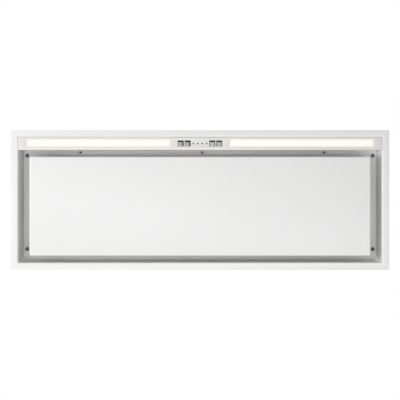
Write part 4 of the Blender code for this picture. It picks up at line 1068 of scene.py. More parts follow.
# --- Suction panel ----------------------------------------------------------------------------
@dataclass
class Panel:
    """The suction panel with its backing, hinges, catches and strike plates."""

    bench: Bench
    sheet: float = 1.2 * MM
    rounding: float = 4.0 * MM
    rounding_steps: int = 8
    edge: float = 0.25 * MM

    def build(self) -> None:
        """Builds the panel and what holds it."""
        x, y, z = self.bench.box("suction_panel")
        pan = self.pan(x, y, z, self.rounding)
        inner = self.pan(
            grown(x, -self.sheet),
            grown(y, -self.sheet),
            (z[0] + self.sheet, z[1]),
            self.rounding - self.sheet,
        )
        bmesh.ops.reverse_faces(inner, faces=inner.faces)
        joined(pan, inner)
        rims = [e for e in pan.edges if e.is_boundary]
        bmesh.ops.bridge_loops(pan, edges=rims)
        self.bench.place("panel_pan", mended(pan), PANEL_LACQUER, "suction_panel")
        backing = soften(self.bench.copy("panel_backing"), self.edge)
        self.bench.place("panel_stiffener", self.beaded(backing), GALVANISED, "panel_backing")
        for side in Side:
            self.hinge(side.label)
            self.catch(side.label)

    def pan(self, x: Span, y: Span, z: Span, rounding: float) -> Mesh:
        """An open-topped pan as a sheet, rounded along its lower and upright edges."""
        bm = block(x, y, (z[0], z[1] + 4 * rounding))
        top = [f for f in bm.faces if f.normal.z > 0.5]
        bmesh.ops.delete(bm, geom=top, context="FACES")
        bmesh.ops.bevel(
            bm,
            geom=[e for e in bm.edges if not e.is_boundary],
            offset=rounding,
            offset_type="OFFSET",
            segments=self.rounding_steps,
            profile=0.5,
            affect="EDGES",
            material=-1,
        )
        everything = bm.verts[:] + bm.edges[:] + bm.faces[:]
        bmesh.ops.bisect_plane(
            bm, geom=everything, plane_co=(0, 0, z[1]), plane_no=(0, 0, 1), clear_outer=True, dist=1e-7
        )
        return bm

    def beaded(self, bm: Mesh) -> Mesh:
        """Adds two pressed beads along the top of the backing sheet."""
        x, y, z = self.bench.box("panel_backing")
        for share in (0.3, 0.7):
            at = y[0] + (y[1] - y[0]) * share
            bead = block(grown(x, -60 * MM), span(at, 9 * MM), (z[1] - 0.6 * MM, z[1] + 0.35 * MM))
            joined(bm, soften(bead, 0.3 * MM, 2))
        return bm

    def hinge(self, label: str) -> None:
        """One hinge: its arm, its bracket and its headed pin."""
        for part in ("arm", "bracket"):
            node = f"hinge_{part}_{label}"
            bm = soften(self.bench.copy(node), self.edge)
            self.bench.place(f"hinge_{part}_pressing_{label}", bm, STEEL, node)
        node = f"hinge_pin_{label}"
        pin = soften(self.bench.copy(node), 0.3 * MM, 3)
        self.bench.place(f"hinge_rivet_{label}", pin, TURNED_STEEL, node)

    def catch(self, label: str) -> None:
        """One magnetic catch, with its two pole strips, and the plate that it holds."""
        node = f"panel_catch_{label}"
        x, y, z = self.bench.box(node)
        bm = soften(self.bench.copy(node), 0.6 * MM, 3)
        for at in (0.34, 0.66):
            centre = y[0] + (y[1] - y[0]) * at
            pole = block(grown(x, -2.0 * MM), span(centre, 1.6 * MM), (z[0] - 0.12 * MM, z[0] + 4 * MM))
            joined(bm, tinted(soften(pole, 0.1 * MM), 1))
        self.bench.place(f"magnet_catch_{label}", bm, (BLACK_PLASTIC, STEEL), node)
        node = f"strike_plate_{label}"
        x, y, z = self.bench.box(node)
        centre = Vector((sum(x) / 2, sum(y) / 2, z[0]))
        radius, height = (x[1] - x[0]) / 2, z[1] - z[0]
        profile = [
            (0.0, 0.0),
            (0.0, radius - 0.3 * MM),
            (0.3 * MM, radius),
            (height - 0.4 * MM, radius),
            (height, radius - 0.4 * MM),
            (height, 2.4 * MM),
            (height - 0.8 * MM, 1.2 * MM),
            (height - 0.8 * MM, 0.0),
        ]
        self.bench.place(f"strike_disc_{label}", turned(profile, "Z", centre), TURNED_STEEL, node)


# --- Filters ----------------------------------------------------------------------------------
@dataclass
class Filters:
    """The two grease filters: framed packs of expanded foil, each with a sliding latch."""

    bench: Bench
    edge: float = 0.45 * MM
    cell: Span = (10.0 * MM, 5.0 * MM)
    strand: float = 0.8 * MM
    layers: tuple[float, ...] = (0.12, 0.5, 0.88)
    ridge: float = 0.5 * MM

    def build(self) -> None:
        """Builds both filters."""
        for side in Side:
            label = side.label
            node = f"filter_frame_{label}"
            bm = soften(self.bench.copy(node), self.edge, 3)
            self.bench.place(f"filter_rails_{label}", bm, ALUMINIUM, node)
            self.pack(label)
            self.latch(label)

    def pack(self, label: str) -> None:
        """The layers of expanded foil in a filter; every second layer is turned."""
        node = f"filter_mesh_{label}"
        x, y, z = self.bench.box(node)
        layers = []
        for step, share in enumerate(self.layers):
            height = z[0] + (z[1] - z[0]) * share
            cell = self.cell if step % 2 == 0 else self.cell[::-1]
            layers.append(self.foil(x, y, height, cell))
        self.bench.place(f"filter_foil_{label}", joined(*layers), FOIL, node)

    def foil(self, x: Span, y: Span, height: float, cell: Span) -> Mesh:
        """One layer of expanded foil: a sheet of diamonds made into strands.

        Args:
            x: Its two ends along X.
            y: Its two ends along Y.
            height: Its height.
            cell: A diamond's length and width.

        Returns:
            The layer's mesh.
        """
        count = int((x[1] - x[0]) / cell[0] + (y[1] - y[0]) / cell[1]) + 2
        half_diagonal = math.sqrt(0.5)
        size = Matrix.Diagonal((cell[0] * half_diagonal, cell[1] * half_diagonal, 1, 1))
        turn = Matrix.Rotation(math.pi / 4, 4, "Z")
        place = Matrix.Translation((sum(x) / 2, sum(y) / 2, height)) @ size @ turn
        bm = bmesh.new()
        bmesh.ops.create_grid(bm, x_segments=count, y_segments=count, size=count / 2, matrix=place)
        for axis, ends in enumerate((grown(x, -self.strand), grown(y, -self.strand))):
            for end, way in zip(ends, (-1, 1)):
                point, normal = Vector(), Vector()
                point[axis], normal[axis] = end, way
                everything = bm.verts[:] + bm.edges[:] + bm.faces[:]
                bmesh.ops.bisect_plane(
                    bm, geom=everything, plane_co=point, plane_no=normal, clear_outer=True, dist=1e-6
                )
        bmesh.ops.wireframe(
            bm,
            faces=bm.faces,
            thickness=self.strand,
            use_replace=True,
            use_boundary=True,
            use_even_offset=True,
        )
        return bm

    def latch(self, label: str) -> None:
        """A latch with ridges across its finger pull."""
        node = f"filter_latch_{label}"
        x, y, z = self.bench.box(node)
        bm = soften(self.bench.copy(node), self.edge, 3)
        pull_x = span(sum(x) / 2, (x[1] - x[0]) / 2 - 1.4 * MM)
        for step in range(3):
            at = y[1] - (1.1 + 1.4 * step) * MM
            ridge = block(pull_x, span(at, 0.7 * MM), (z[0], z[0] + self.ridge + 0.3 * MM))
            joined(bm, soften(ridge, 0.15 * MM))
        self.bench.place(f"latch_{label}", bm, GREY_PLASTIC, node)


# --- Casings ----------------------------------------------------------------------------------
@dataclass
class Casings:
    """The galvanised plenum and motor housing, with their pressed beads, laps and rivets."""

    bench: Bench
    edge: float = 0.3 * MM
    bead_width: float = 14.0 * MM
    bead_rise: float = 2.4 * MM
    sunk: float = 0.4 * MM
    lap_width: float = 13.0 * MM
    lap_rise: float = 0.8 * MM
    rivet: float = 2.6 * MM
    rivet_rise: float = 1.3 * MM

    def build(self) -> None:
        """Builds both casings."""
        self.plenum()
        self.housing()

    def bead(self, x: Span, y: Span, z: Span) -> Mesh:
        """A pressed bead: a low bar with round ends, whose edges roll down to the sheet."""
        sizes = [ends[1] - ends[0] for ends in (x, y, z)]
        up = sizes.index(min(sizes))
        bm = block(x, y, z)
        soften(bm, 0.48 * self.bead_width, 6, lambda e: runs_along(e, up))
        return soften(bm, 0.85 * (self.bead_rise + self.sunk), 4, lambda e: not runs_along(e, up))

    def plenum(self) -> None:
        """The plenum, with beads along its top and its long walls."""
        x, y, z = self.bench.box("plenum_housing")
        housing_x = self.bench.box("motor_housing")[0]
        bm = soften(self.bench.copy("plenum_housing"), self.edge, 3)
        top = (z[1] - self.sunk, z[1] + self.bead_rise)
        left = (x[0] + 26 * MM, housing_x[0] - 22 * MM)
        for share in (0.22, 0.41, 0.59, 0.78):
            at = y[0] + (y[1] - y[0]) * share
            joined(bm, self.bead(left, span(at, self.bead_width), top))
        middle = span(sum(z) / 2, self.bead_width)
        for side in Side:
            out = self.proud(side.end(y), side, self.bead_rise)
            joined(bm, self.bead((x[0] + 40 * MM, x[1] - 40 * MM), out, middle))
        self.bench.place("plenum_casing", bm, GALVANISED, "plenum_housing")
        rivets = [Vector((x_at, y_at, z[1])) for x_at in grown(x, -9 * MM) for y_at in grown(y, -9 * MM)]
        self.rivets("plenum_rivets", rivets, Vector((0, 0, 1)), "plenum_housing")

    def housing(self) -> None:
        """The motor housing, with beads on its walls, lapped corners and a riveted foot."""
        x, y, z = self.bench.box("motor_housing")
        bm = self.bench.copy("motor_housing")
        body_x = self.walls(bm, 0, z)
        body_y = self.walls(bm, 1, z)
        soften(bm, self.edge, 3)
        for share in (0.3, 0.7):
            level = span(z[0] + (z[1] - z[0]) * share, self.bead_width)
            for side in Side:
                out = self.proud(side.end(body_y), side, self.bead_rise)
                joined(bm, self.bead(grown(body_x, -42 * MM), out, level))
                out = self.proud(side.end(body_x), side, self.bead_rise)
                joined(bm, self.bead(out, grown(body_y, -34 * MM), level))
        lap_z = (z[0] + 3 * MM, z[1] - 3 * MM)
        for side in Side:
            out = self.proud(side.end(body_x), side, self.lap_rise)
            for end, way in zip(body_y, (1, -1)):
                lap_y = tuple(sorted((end + way * 0.5 * MM, end + way * self.lap_width)))
                joined(bm, soften(block(out, lap_y, lap_z), 0.25 * MM))
        self.bench.place("motor_casing", bm, GALVANISED, "motor_housing")
        self.wall_rivets(body_x, body_y, lap_z)
        self.foot_rivets(x, y, body_x, body_y, z[0] + 1.0 * MM)

    def walls(self, bm: Mesh, axis: int, z: Span) -> Span:
        """Where the housing's outer walls are on an axis, above its foot."""
        high = [v.co[axis] for v in bm.verts if v.co.z > z[1] - 2 * MM]
        return (min(high), max(high))

    def proud(self, wall: float, side: Side, rise: float) -> Span:
        """The depth of something that stands off a wall and is sunk a little in it."""
        return tuple(sorted((wall - side.value * self.sunk, wall + side.value * rise)))

    def wall_rivets(self, x: Span, y: Span, z: Span) -> None:
        """The rivets up the housing's lapped corners."""
        for side in Side:
            face = side.end(x) + side.value * self.lap_rise
            points = [
                Vector((face, end + way * self.lap_width / 2, z[0] + (z[1] - z[0]) * share))
                for end, way in zip(y, (1, -1))
                for share in (0.08, 0.36, 0.64, 0.92)
            ]
            normal = Vector((side.value, 0, 0))
            self.rivets(f"corner_rivets_{side.label}", points, normal, "motor_housing")

    def foot_rivets(self, x: Span, y: Span, body_x: Span, body_y: Span, height: float) -> None:
        """The rivets that hold the housing's foot to the plenum."""
        in_x = [(a + b) / 2 for a, b in zip(x, body_x)]
        in_y = [(a + b) / 2 for a, b in zip(y, body_y)]
        points = [
            Vector((body_x[0] + (body_x[1] - body_x[0]) * share, y_at, height))
            for y_at in in_y
            for share in (0.1, 0.37, 0.63, 0.9)
        ]
        points += [Vector((x_at, sign * 75 * MM, height)) for x_at in in_x for sign in (-1, 1)]
        self.rivets("foot_rivets", points, Vector((0, 0, 1)), "motor_housing")

    def rivets(self, name: str, points: list[Vector], normal: Vector, node: str) -> None:
        """A group of domed rivets with the pit of their pulled stem.

        Args:
            name: The piece's name.
            points: Where each stands on its sheet.
            normal: The way they face.
            node: The CAD node whose body they ride on.
        """
        radius, rise = self.rivet, self.rivet_rise
        profile = [
            (-0.3 * MM, 0.0),
            (-0.3 * MM, radius),
            (0.12 * rise, radius),
            (0.62 * rise, 0.82 * radius),
            (rise, 0.42 * radius),
            (0.7 * rise, 0.3 * radius),
            (0.7 * rise, 0.0),
        ]
        heads = []
        for point in points:
            head = turned(profile, "Z", Vector(), 14)
            turn = normal.to_track_quat("Z", "Y").to_matrix().to_4x4()
            bmesh.ops.transform(head, matrix=Matrix.Translation(point) @ turn, verts=head.verts)
            heads.append(head)
        self.bench.place(name, joined(*heads), ALUMINIUM, node, stands_for=False)


# --- Blower -----------------------------------------------------------------------------------
@dataclass
class Blower:
    """The double-inlet blower: its two scroll halves, the wheel, the motor and its mount."""

    bench: Bench
    edge: float = 0.4 * MM
    blades: int = 36
    blade_sheet: float = 0.9 * MM
    blade_steps: int = 5
    disc: float = 3.0 * MM
    ring: float = 4.0 * MM
    rim_depth: float = 12.0 * MM
    hub: float = 9.0 * MM
    bore: float = 4.15 * MM
    mouth: float = 48.0 * MM
    seam_turns: tuple[float, ...] = (45, 135, 225, 262)
    seam_width: float = 14.0 * MM
    seam_rise: float = 8.0 * MM
    seam_reach: float = 2.4 * MM
    motor_radius: float = 38.0 * MM
    motor_seat: float = 11.4 * MM
    motor_slots: int = 12
    bell_share: float = 0.3
    bell_inset: float = 1.5 * MM
    bearing_radii: Span = (6.2 * MM, 11.0 * MM)
    bearing_edge: float = 0.35 * MM
    blade_lean: float = 11.0

    def build(self) -> None:
        """Builds every part of the blower."""
        x, y, z = self.bench.box("fan_wheel")
        axis = Vector((0, sum(y) / 2, sum(z) / 2))
        for side in Side:
            self.scroll(side, axis)
        self.wheel(x, (y[1] - y[0]) / 2, axis)
        self.motor(axis)

    def scroll(self, side: Side, axis: Vector) -> None:
        """Half of the scroll, with a rolled lip round its inlet."""
        node = f"scroll_half_{side.label}"
        bm = soften(self.bench.copy(node), self.edge)
        end = max(abs(v.co.x) for v in bm.verts if v.co.z < axis.z)
        lip = [
            (end - 0.6 * MM, self.mouth + 0.3 * MM),
            (end - 0.6 * MM, self.mouth + 5 * MM),
            (end + 1.2 * MM, self.mouth + 4.6 * MM),
            (end + 1.9 * MM, self.mouth + 2.6 * MM),
            (end + 1.2 * MM, self.mouth + 0.6 * MM),
        ]
        profile = [(side.value * far, radius) for far, radius in lip]
        joined(bm, turned(profile, "X", axis))
        lugs = [self.lug(side, self.on_scroll(bm, axis, turn)) for turn in self.seam_turns]
        joined(bm, *lugs)
        self.bench.place(f"scroll_shell_{side.label}", bm, (BLACK_PLASTIC, ZINC_SCREW), node)

    def on_scroll(self, bm: Mesh, axis: Vector, turn: float) -> Matrix:
        """The place on the scroll's outside at an angle in degrees, with +Z pointing away from it."""
        spin = Matrix.Rotation(math.radians(turn), 4, "X")
        way = spin @ Vector((0, 0, 1))
        flat = [Vector((0, vert.co.y - axis.y, vert.co.z - axis.z)) for vert in bm.verts]
        reach = max(away.length for away in flat if away.angle(way, math.pi) < math.radians(8))
        return Matrix.Translation(axis) @ spin @ Matrix.Translation((0, 0, reach))

    def lug(self, side: Side, place: Matrix) -> Mesh:
        """Half of a screwed lug that closes the seam between the scroll's halves."""
        seam = mirrored((0.3 * MM, self.seam_reach), side)
        bm = block(seam, span(0, self.seam_width), (-3 * MM, self.seam_rise))
        soften(bm, 2.4 * MM, 4, lambda e: min(vert.co.z for vert in e.verts) > 0 and runs_along(e, 0))
        head_x = mirrored((self.seam_reach - 0.2 * MM, self.seam_reach + 1.6 * MM), side)
        head = soften(rod("X", (0, 0.5 * self.seam_rise), head_x, 2.6 * MM, 16), 0.4 * MM)
        joined(bm, tinted(head, 1))
        bmesh.ops.transform(bm, matrix=place, verts=bm.verts)
        return bm

    def wheel(self, x: Span, radius: float, axis: Vector) -> None:
        """The wheel: a disc with its hub, a ring at each end and curved blades between them."""
        half = self.disc / 2
        hub_end = half + 18 * MM
        body = turned(
            [
                (-half, self.bore),
                (-half, radius - 0.3 * MM),
                (half, radius - 0.3 * MM),
                (half, self.hub + 1.5 * MM),
                (half + 1.5 * MM, self.hub),
                (hub_end - 0.6 * MM, self.hub),
                (hub_end, self.hub - 0.6 * MM),
                (hub_end, self.bore),
            ],
            "X",
            axis,
            60,
        )
        inner = radius - self.rim_depth
        for side in Side:
            outer_end = side.end(x)
            start = outer_end - side.value * self.ring
            profile = [
                (start, inner + 0.8 * MM),
                (start, radius),
                (outer_end - side.value * 0.5 * MM, radius),
                (outer_end, radius - 0.5 * MM),
                (outer_end, inner),
            ]
            joined(body, turned(profile, "X", axis, 60))
            ends = tuple(sorted((side.value * (half - 0.3 * MM), start + side.value * 0.3 * MM)))
            for step in range(self.blades):
                blade = self.blade(inner + 0.6 * MM, radius - 0.5 * MM, ends)
                joined(body, swung(blade, axis, step, self.blades))
        self.bench.place("impeller", body, BLACK_PLASTIC, "fan_wheel")
        shaft = soften(self.bench.copy("motor_shaft"), 0.5 * MM, 3)
        self.bench.place("drive_shaft", shaft, TURNED_STEEL, "motor_shaft")

    def blade(self, inner: float, outer: float, ends: Span) -> Mesh:
        """One forward-curved blade about the X axis, as a bent strip given its sheet."""
        lean = math.radians(self.blade_lean)
        rows = []
        for offset in (-self.blade_sheet / 2, self.blade_sheet / 2):
            row = []
            for step in range(self.blade_steps + 1):
                share = step / self.blade_steps
                away = inner + (outer - inner) * share
                turn = lean * share * share + offset / away
                row.append((away * math.sin(turn), away * math.cos(turn)))
            rows.append(row)
        return prism(rows[0] + rows[1][::-1], "X", ends)

    def motor(self, axis: Vector) -> None:
        """The motor: two end bells, the stack between them, its bearing and its bracket."""
        x = self.bench.box("fan_motor")[0]
        length = x[1] - x[0]
        radius = self.motor_radius
        seat = self.motor_seat
        bell = self.bell_share * length
        bell_radius = radius - self.bell_inset
        bearing = self.bench.box("motor_bearing")[0]
        shell = [
            (x[0], seat),
            (x[0], radius * 0.72),
            (x[0] + 2 * MM, radius * 0.8),
            (x[0] + 4 * MM, bell_radius),
            (x[0] + bell, bell_radius),
            (x[0] + bell, seat),
        ]
        front = [
            (x[1] - bell, seat),
            (x[1] - bell, bell_radius),
            (x[1] - 4 * MM, bell_radius),
            (x[1] - 2 * MM, radius * 0.8),
            (x[1], radius * 0.6),
            (x[1], seat),
        ]
        stack = [(x[0] + bell + 0.2 * MM, seat), (x[0] + bell + 0.2 * MM, radius)]
        stack += [(x[1] - bell - 0.2 * MM, radius), (x[1] - bell - 0.2 * MM, seat)]
        bm = joined(
            turned(shell, "X", axis, 60),
            turned(front, "X", axis, 60),
            tinted(turned(stack, "X", axis, 60), 1),
        )
        slot_x = (x[1] - 1.2 * MM, x[1] - 0.2 * MM)
        for step in range(self.motor_slots):
            slot = block(slot_x, span(0, 3 * MM), (0.44 * radius, 0.58 * radius))
            joined(bm, tinted(swung(slot, axis, step, self.motor_slots), 2))
        self.bench.place("motor_body", bm, (GALVANISED, LAMINATION, COPPER), "fan_motor")
        self.bearing(bearing, axis)
        bracket = soften(self.bench.copy("motor_bracket"), self.edge)
        self.bench.place("motor_mount", bracket, GALVANISED, "motor_bracket")

    def bearing(self, x: Span, axis: Vector) -> None:
        """The shaft's ball bearing: two races and the shields between them."""
        (inner, outer), bore, step = self.bearing_radii, self.bore, self.bearing_edge
        outer_race = [(x[0], outer - 2 * MM), (x[0], outer - step), (x[0] + step, outer)]
        outer_race += [(x[1] - step, outer), (x[1], outer - step), (x[1], outer - 2 * MM)]
        inner_race = [(x[0], bore), (x[0], inner), (x[1], inner), (x[1], bore)]
        shield = [(x[0] + step, inner - 0.1 * MM), (x[0] + step, outer - 1.9 * MM)]
        shield += [(x[1] - step, outer - 1.9 * MM), (x[1] - step, inner - 0.1 * MM)]
        bm = joined(
            turned(outer_race, "X", axis),
            turned(inner_race, "X", axis),
            tinted(turned(shield, "X", axis), 1),
        )
        self.bench.place("ball_bearing", bm, (TURNED_STEEL, BLACK_PLASTIC), "motor_bearing")


# --- Outlet -----------------------------------------------------------------------------------
@dataclass
class Outlet:
    """The round outlet with its two flaps on their spindle."""

    bench: Bench
    wall: float = 1.8 * MM
    foot_sheet: float = 2.0 * MM
    radius: float = 74.6 * MM
    seat_width: float = 3.8 * MM
    groove: float = 0.6 * MM
    rib: float = 1.3 * MM
    rib_start: float = 13.0 * MM
    edge: float = 0.25 * MM

    def build(self) -> None:
        """Builds the collar, the spindle and the flaps."""
        x, _, z = self.bench.box("outlet_collar")
        spindle_z = sum(self.bench.box("flap_spindle")[2]) / 2
        self.collar(x[1], z, spindle_z)
        spindle = soften(self.bench.copy("flap_spindle"), 0.3 * MM, 3)
        self.bench.place("flap_rod", spindle, TURNED_STEEL, "flap_spindle")
        for side in Side:
            self.flap(side, spindle_z)

    def collar(self, foot: float, z: Span, spindle_z: float) -> None:
        """The collar, turned with two sealing grooves, a chamfered lip and screws in its foot."""
        inner = self.radius - self.wall
        seat_top = spindle_z - 1.05 * MM
        top = z[1]
        profile = [
            (z[0], inner),
            (z[0], foot),
            (z[0] + self.foot_sheet - 0.4 * MM, foot),
            (z[0] + self.foot_sheet, foot - 0.4 * MM),
            (z[0] + self.foot_sheet, self.radius + 1.5 * MM),
            (z[0] + self.foot_sheet + 0.5 * MM, self.radius + 0.4 * MM),
            (z[0] + self.foot_sheet + 1.5 * MM, self.radius),
        ]
        for start in (top - 18 * MM, top - 12 * MM):
            profile += [
                (start, self.radius),
                (start + 0.5 * MM, self.radius - self.groove),
                (start + 2.0 * MM, self.radius - self.groove),
                (start + 2.5 * MM, self.radius),
            ]
        profile += [
            (top - 2.5 * MM, self.radius),
            (top - 0.4 * MM, self.radius - 0.9 * MM),
            (top, self.radius - 1.2 * MM),
            (top, inner + 0.2 * MM),
            (top - 0.3 * MM, inner),
            (seat_top, inner),
            (seat_top, inner - self.seat_width + 0.3 * MM),
            (seat_top - 0.3 * MM, inner - self.seat_width),
            (seat_top - 1.6 * MM, inner - self.seat_width),
            (seat_top - 1.6 * MM, inner),
        ]
        bm = turned(profile, "Z", Vector(), 96)
        for step in range(6):
            turn = math.tau * (step + 0.5) / 6
            at = Vector((math.cos(turn), math.sin(turn), 0)) * (self.radius + foot) / 2
            at.z = z[0] + self.foot_sheet
            head = [(-0.4 * MM, 0), (-0.4 * MM, 3.1 * MM), (0.5 * MM, 3.1 * MM), (1.4 * MM, 2.2 * MM)]
            head += [(1.4 * MM, 1.3 * MM), (0.5 * MM, 1.1 * MM), (0.5 * MM, 0)]
            joined(bm, tinted(turned(head, "Z", at, 18), 1))
        self.bench.place("duct_collar", bm, (BLACK_PLASTIC, ZINC_SCREW), "outlet_collar")

    def flap(self, side: Side, spindle_z: float) -> None:
        """A flap with stiffening ribs across its upper face."""
        node = f"flap_{side.label}"
        y = self.bench.box(node)[1]
        bm = soften(self.bench.copy(node), self.edge)
        radius = (y[1] - y[0]) / 2 - 4 * MM
        rib_z = (spindle_z + 0.5 * MM, spindle_z + 0.75 * MM + self.rib)
        for share in (-0.6, -0.2, 0.2, 0.6):
            at = share * radius
            reach = math.sqrt(radius * radius - at * at)
            rib_x = mirrored((self.rib_start, reach), side)
            joined(bm, soften(block(rib_x, span(at, 1.4 * MM), rib_z), 0.3 * MM))
        self.bench.place(f"backdraft_flap_{side.label}", bm, GREY_PLASTIC, node)


# --- Electronics ------------------------------------------------------------------------------
@dataclass
class Electronics:
    """The connection box on the plenum, with its lid, gland, boards and terminals."""

    bench: Bench
    edge: float = 0.3 * MM
    lid_screw: float = 3.2 * MM
    gland_radii: tuple[float, float, float] = (5.0 * MM, 7.6 * MM, 9.4 * MM)
    gland_ribs: int = 12
    board_top: float = 6.4 * MM
    transformer_share: float = 0.62

    def build(self) -> None:
        """Builds the box and all it holds."""
        box = soften(self.bench.copy("electronics_box"), self.edge, 3)
        self.bench.place("connection_box", box, GALVANISED, "electronics_box")
        self.lid()
        self.gland()
        self.capacitor()
        self.power_board()
        self.terminals()

    def lid(self) -> None:
        """The lid, with a raised field and a screw near each corner."""
        x, y, z = self.bench.box("electronics_lid")
        bm = soften(self.bench.copy("electronics_lid"), self.edge, 3)
        field_z = (z[1] - 0.3 * MM, z[1] + 0.9 * MM)
        panel = block(grown(x, -17 * MM), grown(y, -17 * MM), field_z)
        joined(bm, soften(panel, 0.6 * MM, 3))
        for x_at in grown(x, -8 * MM):
            for y_at in grown(y, -8 * MM):
                at = Vector((x_at, y_at, z[1]))
                radius = self.lid_screw
                head = [(-0.3 * MM, 0), (-0.3 * MM, radius), (0.5 * MM, radius)]
                head += [(1.5 * MM, 0.7 * radius), (1.7 * MM, 0.4 * radius), (0.8 * MM, 0.35 * radius)]
                head += [(0.8 * MM, 0)]
                joined(bm, tinted(turned(head, "Z", at, 18), 1))
        self.bench.place("connection_lid", bm, (GALVANISED, ZINC_SCREW), "electronics_lid")

    def gland(self) -> None:
        """The cable gland: a hexagon against the wall, a ribbed cap nut and the open bore."""
        x, y, z = self.bench.box("mains_gland")
        axis = Vector((0, sum(y) / 2, sum(z) / 2))
        wall = self.bench.box("electronics_box")[0][1]
        bore, neck, cap = self.gland_radii
        nut = wall + 0.3 * MM
        profile = [
            (x[0], bore),
            (x[0], neck - 0.5 * MM),
            (x[0] + 0.5 * MM, neck),
            (nut + 5 * MM, neck),
            (nut + 5 * MM, cap),
            (x[1] - 2.5 * MM, cap),
            (x[1] - 0.6 * MM, cap - 1.6 * MM),
            (x[1], bore + 1.2 * MM),
            (x[1], bore),
        ]
        bm = turned(profile, "X", axis, 36)
        for step in range(self.gland_ribs):
            rib_z = (cap - 0.3 * MM, cap + 0.7 * MM)
            rib = soften(block((nut + 5.6 * MM, x[1] - 3 * MM), span(0, 1.6 * MM), rib_z), 0.25 * MM)
            joined(bm, swung(rib, axis, step, self.gland_ribs))
        hexagon = rod("X", (axis.y, axis.z), (nut, nut + 4.6 * MM), 11 * MM, 6)
        bmesh.ops.delete(hexagon, geom=[f for f in hexagon.faces if abs(f.normal.x) > 0.9], context="FACES")
        self.thickened(hexagon, axis, neck - 0.2 * MM)
        self.bench.place("cable_gland", joined(bm, soften(hexagon, 0.3 * MM)), BLACK_PLASTIC, "mains_gland")

    def thickened(self, bm: Mesh, axis: Vector, radius: float) -> None:
        """Closes an open six-sided sleeve with a smaller six-sided hole of a radius through it."""
        bound = [e for e in bm.edges if e.is_boundary]
        made = bmesh.ops.extrude_edge_only(bm, edges=bound)["geom"]
        moved = [v for v in made if isinstance(v, bmesh.types.BMVert)]
        for vert in moved:
            away = Vector((0, vert.co.y - axis.y, vert.co.z - axis.z)).normalized() * radius
            vert.co.y, vert.co.z = axis.y + away.y, axis.z + away.z
        rims = [e for e in bm.edges if e.is_boundary]
        bmesh.ops.bridge_loops(bm, edges=rims)
        bmesh.ops.recalc_face_normals(bm, faces=bm.faces)

    def capacitor(self) -> None:
        """The motor's capacitor: a can with a rolled groove, a plastic cap and two tabs."""
        x, y, z = self.bench.box("capacitor")
        axis = Vector((sum(x) / 2, 0, sum(z) / 2))
        radius = (x[1] - x[0]) / 2
        can_end = y[1] - 4.5 * MM
        can = [
            (y[0], 0.0),
            (y[0], radius - 1.5 * MM),
            (y[0] + 0.5 * MM, radius - 0.4 * MM),
            (y[0] + 1.5 * MM, radius),
            (can_end - 6 * MM, radius),
            (can_end - 5 * MM, radius - 1.1 * MM),
            (can_end - 4 * MM, radius),
            (can_end - 0.5 * MM, radius),
            (can_end, radius - 0.5 * MM),
            (can_end, 0.0),
        ]
        cap = [(can_end - 0.3 * MM, 0.0), (can_end - 0.3 * MM, radius - 1.4 * MM)]
        cap += [(can_end + 1.2 * MM, radius - 1.6 * MM), (can_end + 1.2 * MM, 0.0)]
        bm = joined(turned(can, "Y", axis), tinted(turned(cap, "Y", axis), 1))
        for sign in (-1, 1):
            tab_x = span(axis.x + sign * 5 * MM, 0.8 * MM)
            tab = block(tab_x, (can_end, y[1]), span(axis.z, 5 * MM))
            joined(bm, tinted(soften(tab, 0.15 * MM), 2))
        self.bench.place("capacitor_can", bm, (ALUMINIUM, BLACK_PLASTIC, BRASS), "capacitor")

    def power_board(self) -> None:
        """The supply board, its relays and its wound transformer, on nylon feet."""
        x, y, z = self.bench.box("power_board")
        bm = soften(self.bench.copy("power_board"), self.edge)
        board_top = z[0] + self.board_top
        split_y = y[0] + self.transformer_share * (y[1] - y[0])
        for face in bm.faces:
            centre = face.calc_center_median()
            if centre.z > board_top + 0.3 * MM:
                face.material_index = 2 if centre.y > split_y else 1
            elif centre.z < z[0] + 4.5 * MM:
                face.material_index = 3
        finishes = (BOARD, BLACK_PLASTIC, COPPER, WHITE_PLASTIC)
        for step in range(4):
            at = (x[0] + (8 + 13 * step) * MM, split_y)
            can = rod("Z", at, (board_top - 0.2 * MM, board_top + 9 * MM), 3.4 * MM, 20)
            joined(bm, tinted(soften(can, 0.5 * MM), 1))
        self.bench.place("supply_board", bm, finishes, "power_board")

    def terminals(self) -> None:
        """The mains terminal block, with a brass screw at each end of its wells."""
        x, _, z = self.bench.box("terminal_block")
        bm = self.bench.copy("terminal_block")
        floors = [f.calc_center_median() for f in bm.faces if f.normal.z > 0.9]
        floors = [at for at in floors if at.z < z[1] - 1 * MM]
        soften(bm, self.edge)
        for at in floors:
            for x_at in grown(x, -9 * MM):
                head = [(-0.3 * MM, 0), (-0.3 * MM, 2.2 * MM), (5.6 * MM, 2.2 * MM), (6.0 * MM, 1.8 * MM)]
                head += [(6.0 * MM, 0.6 * MM), (5.2 * MM, 0.6 * MM), (5.2 * MM, 0)]
                joined(bm, tinted(turned(head, "Z", Vector((x_at, at.y, at.z)), 16), 1))
        self.bench.place("mains_terminals", bm, (WHITE_PLASTIC, BRASS), "terminal_block")


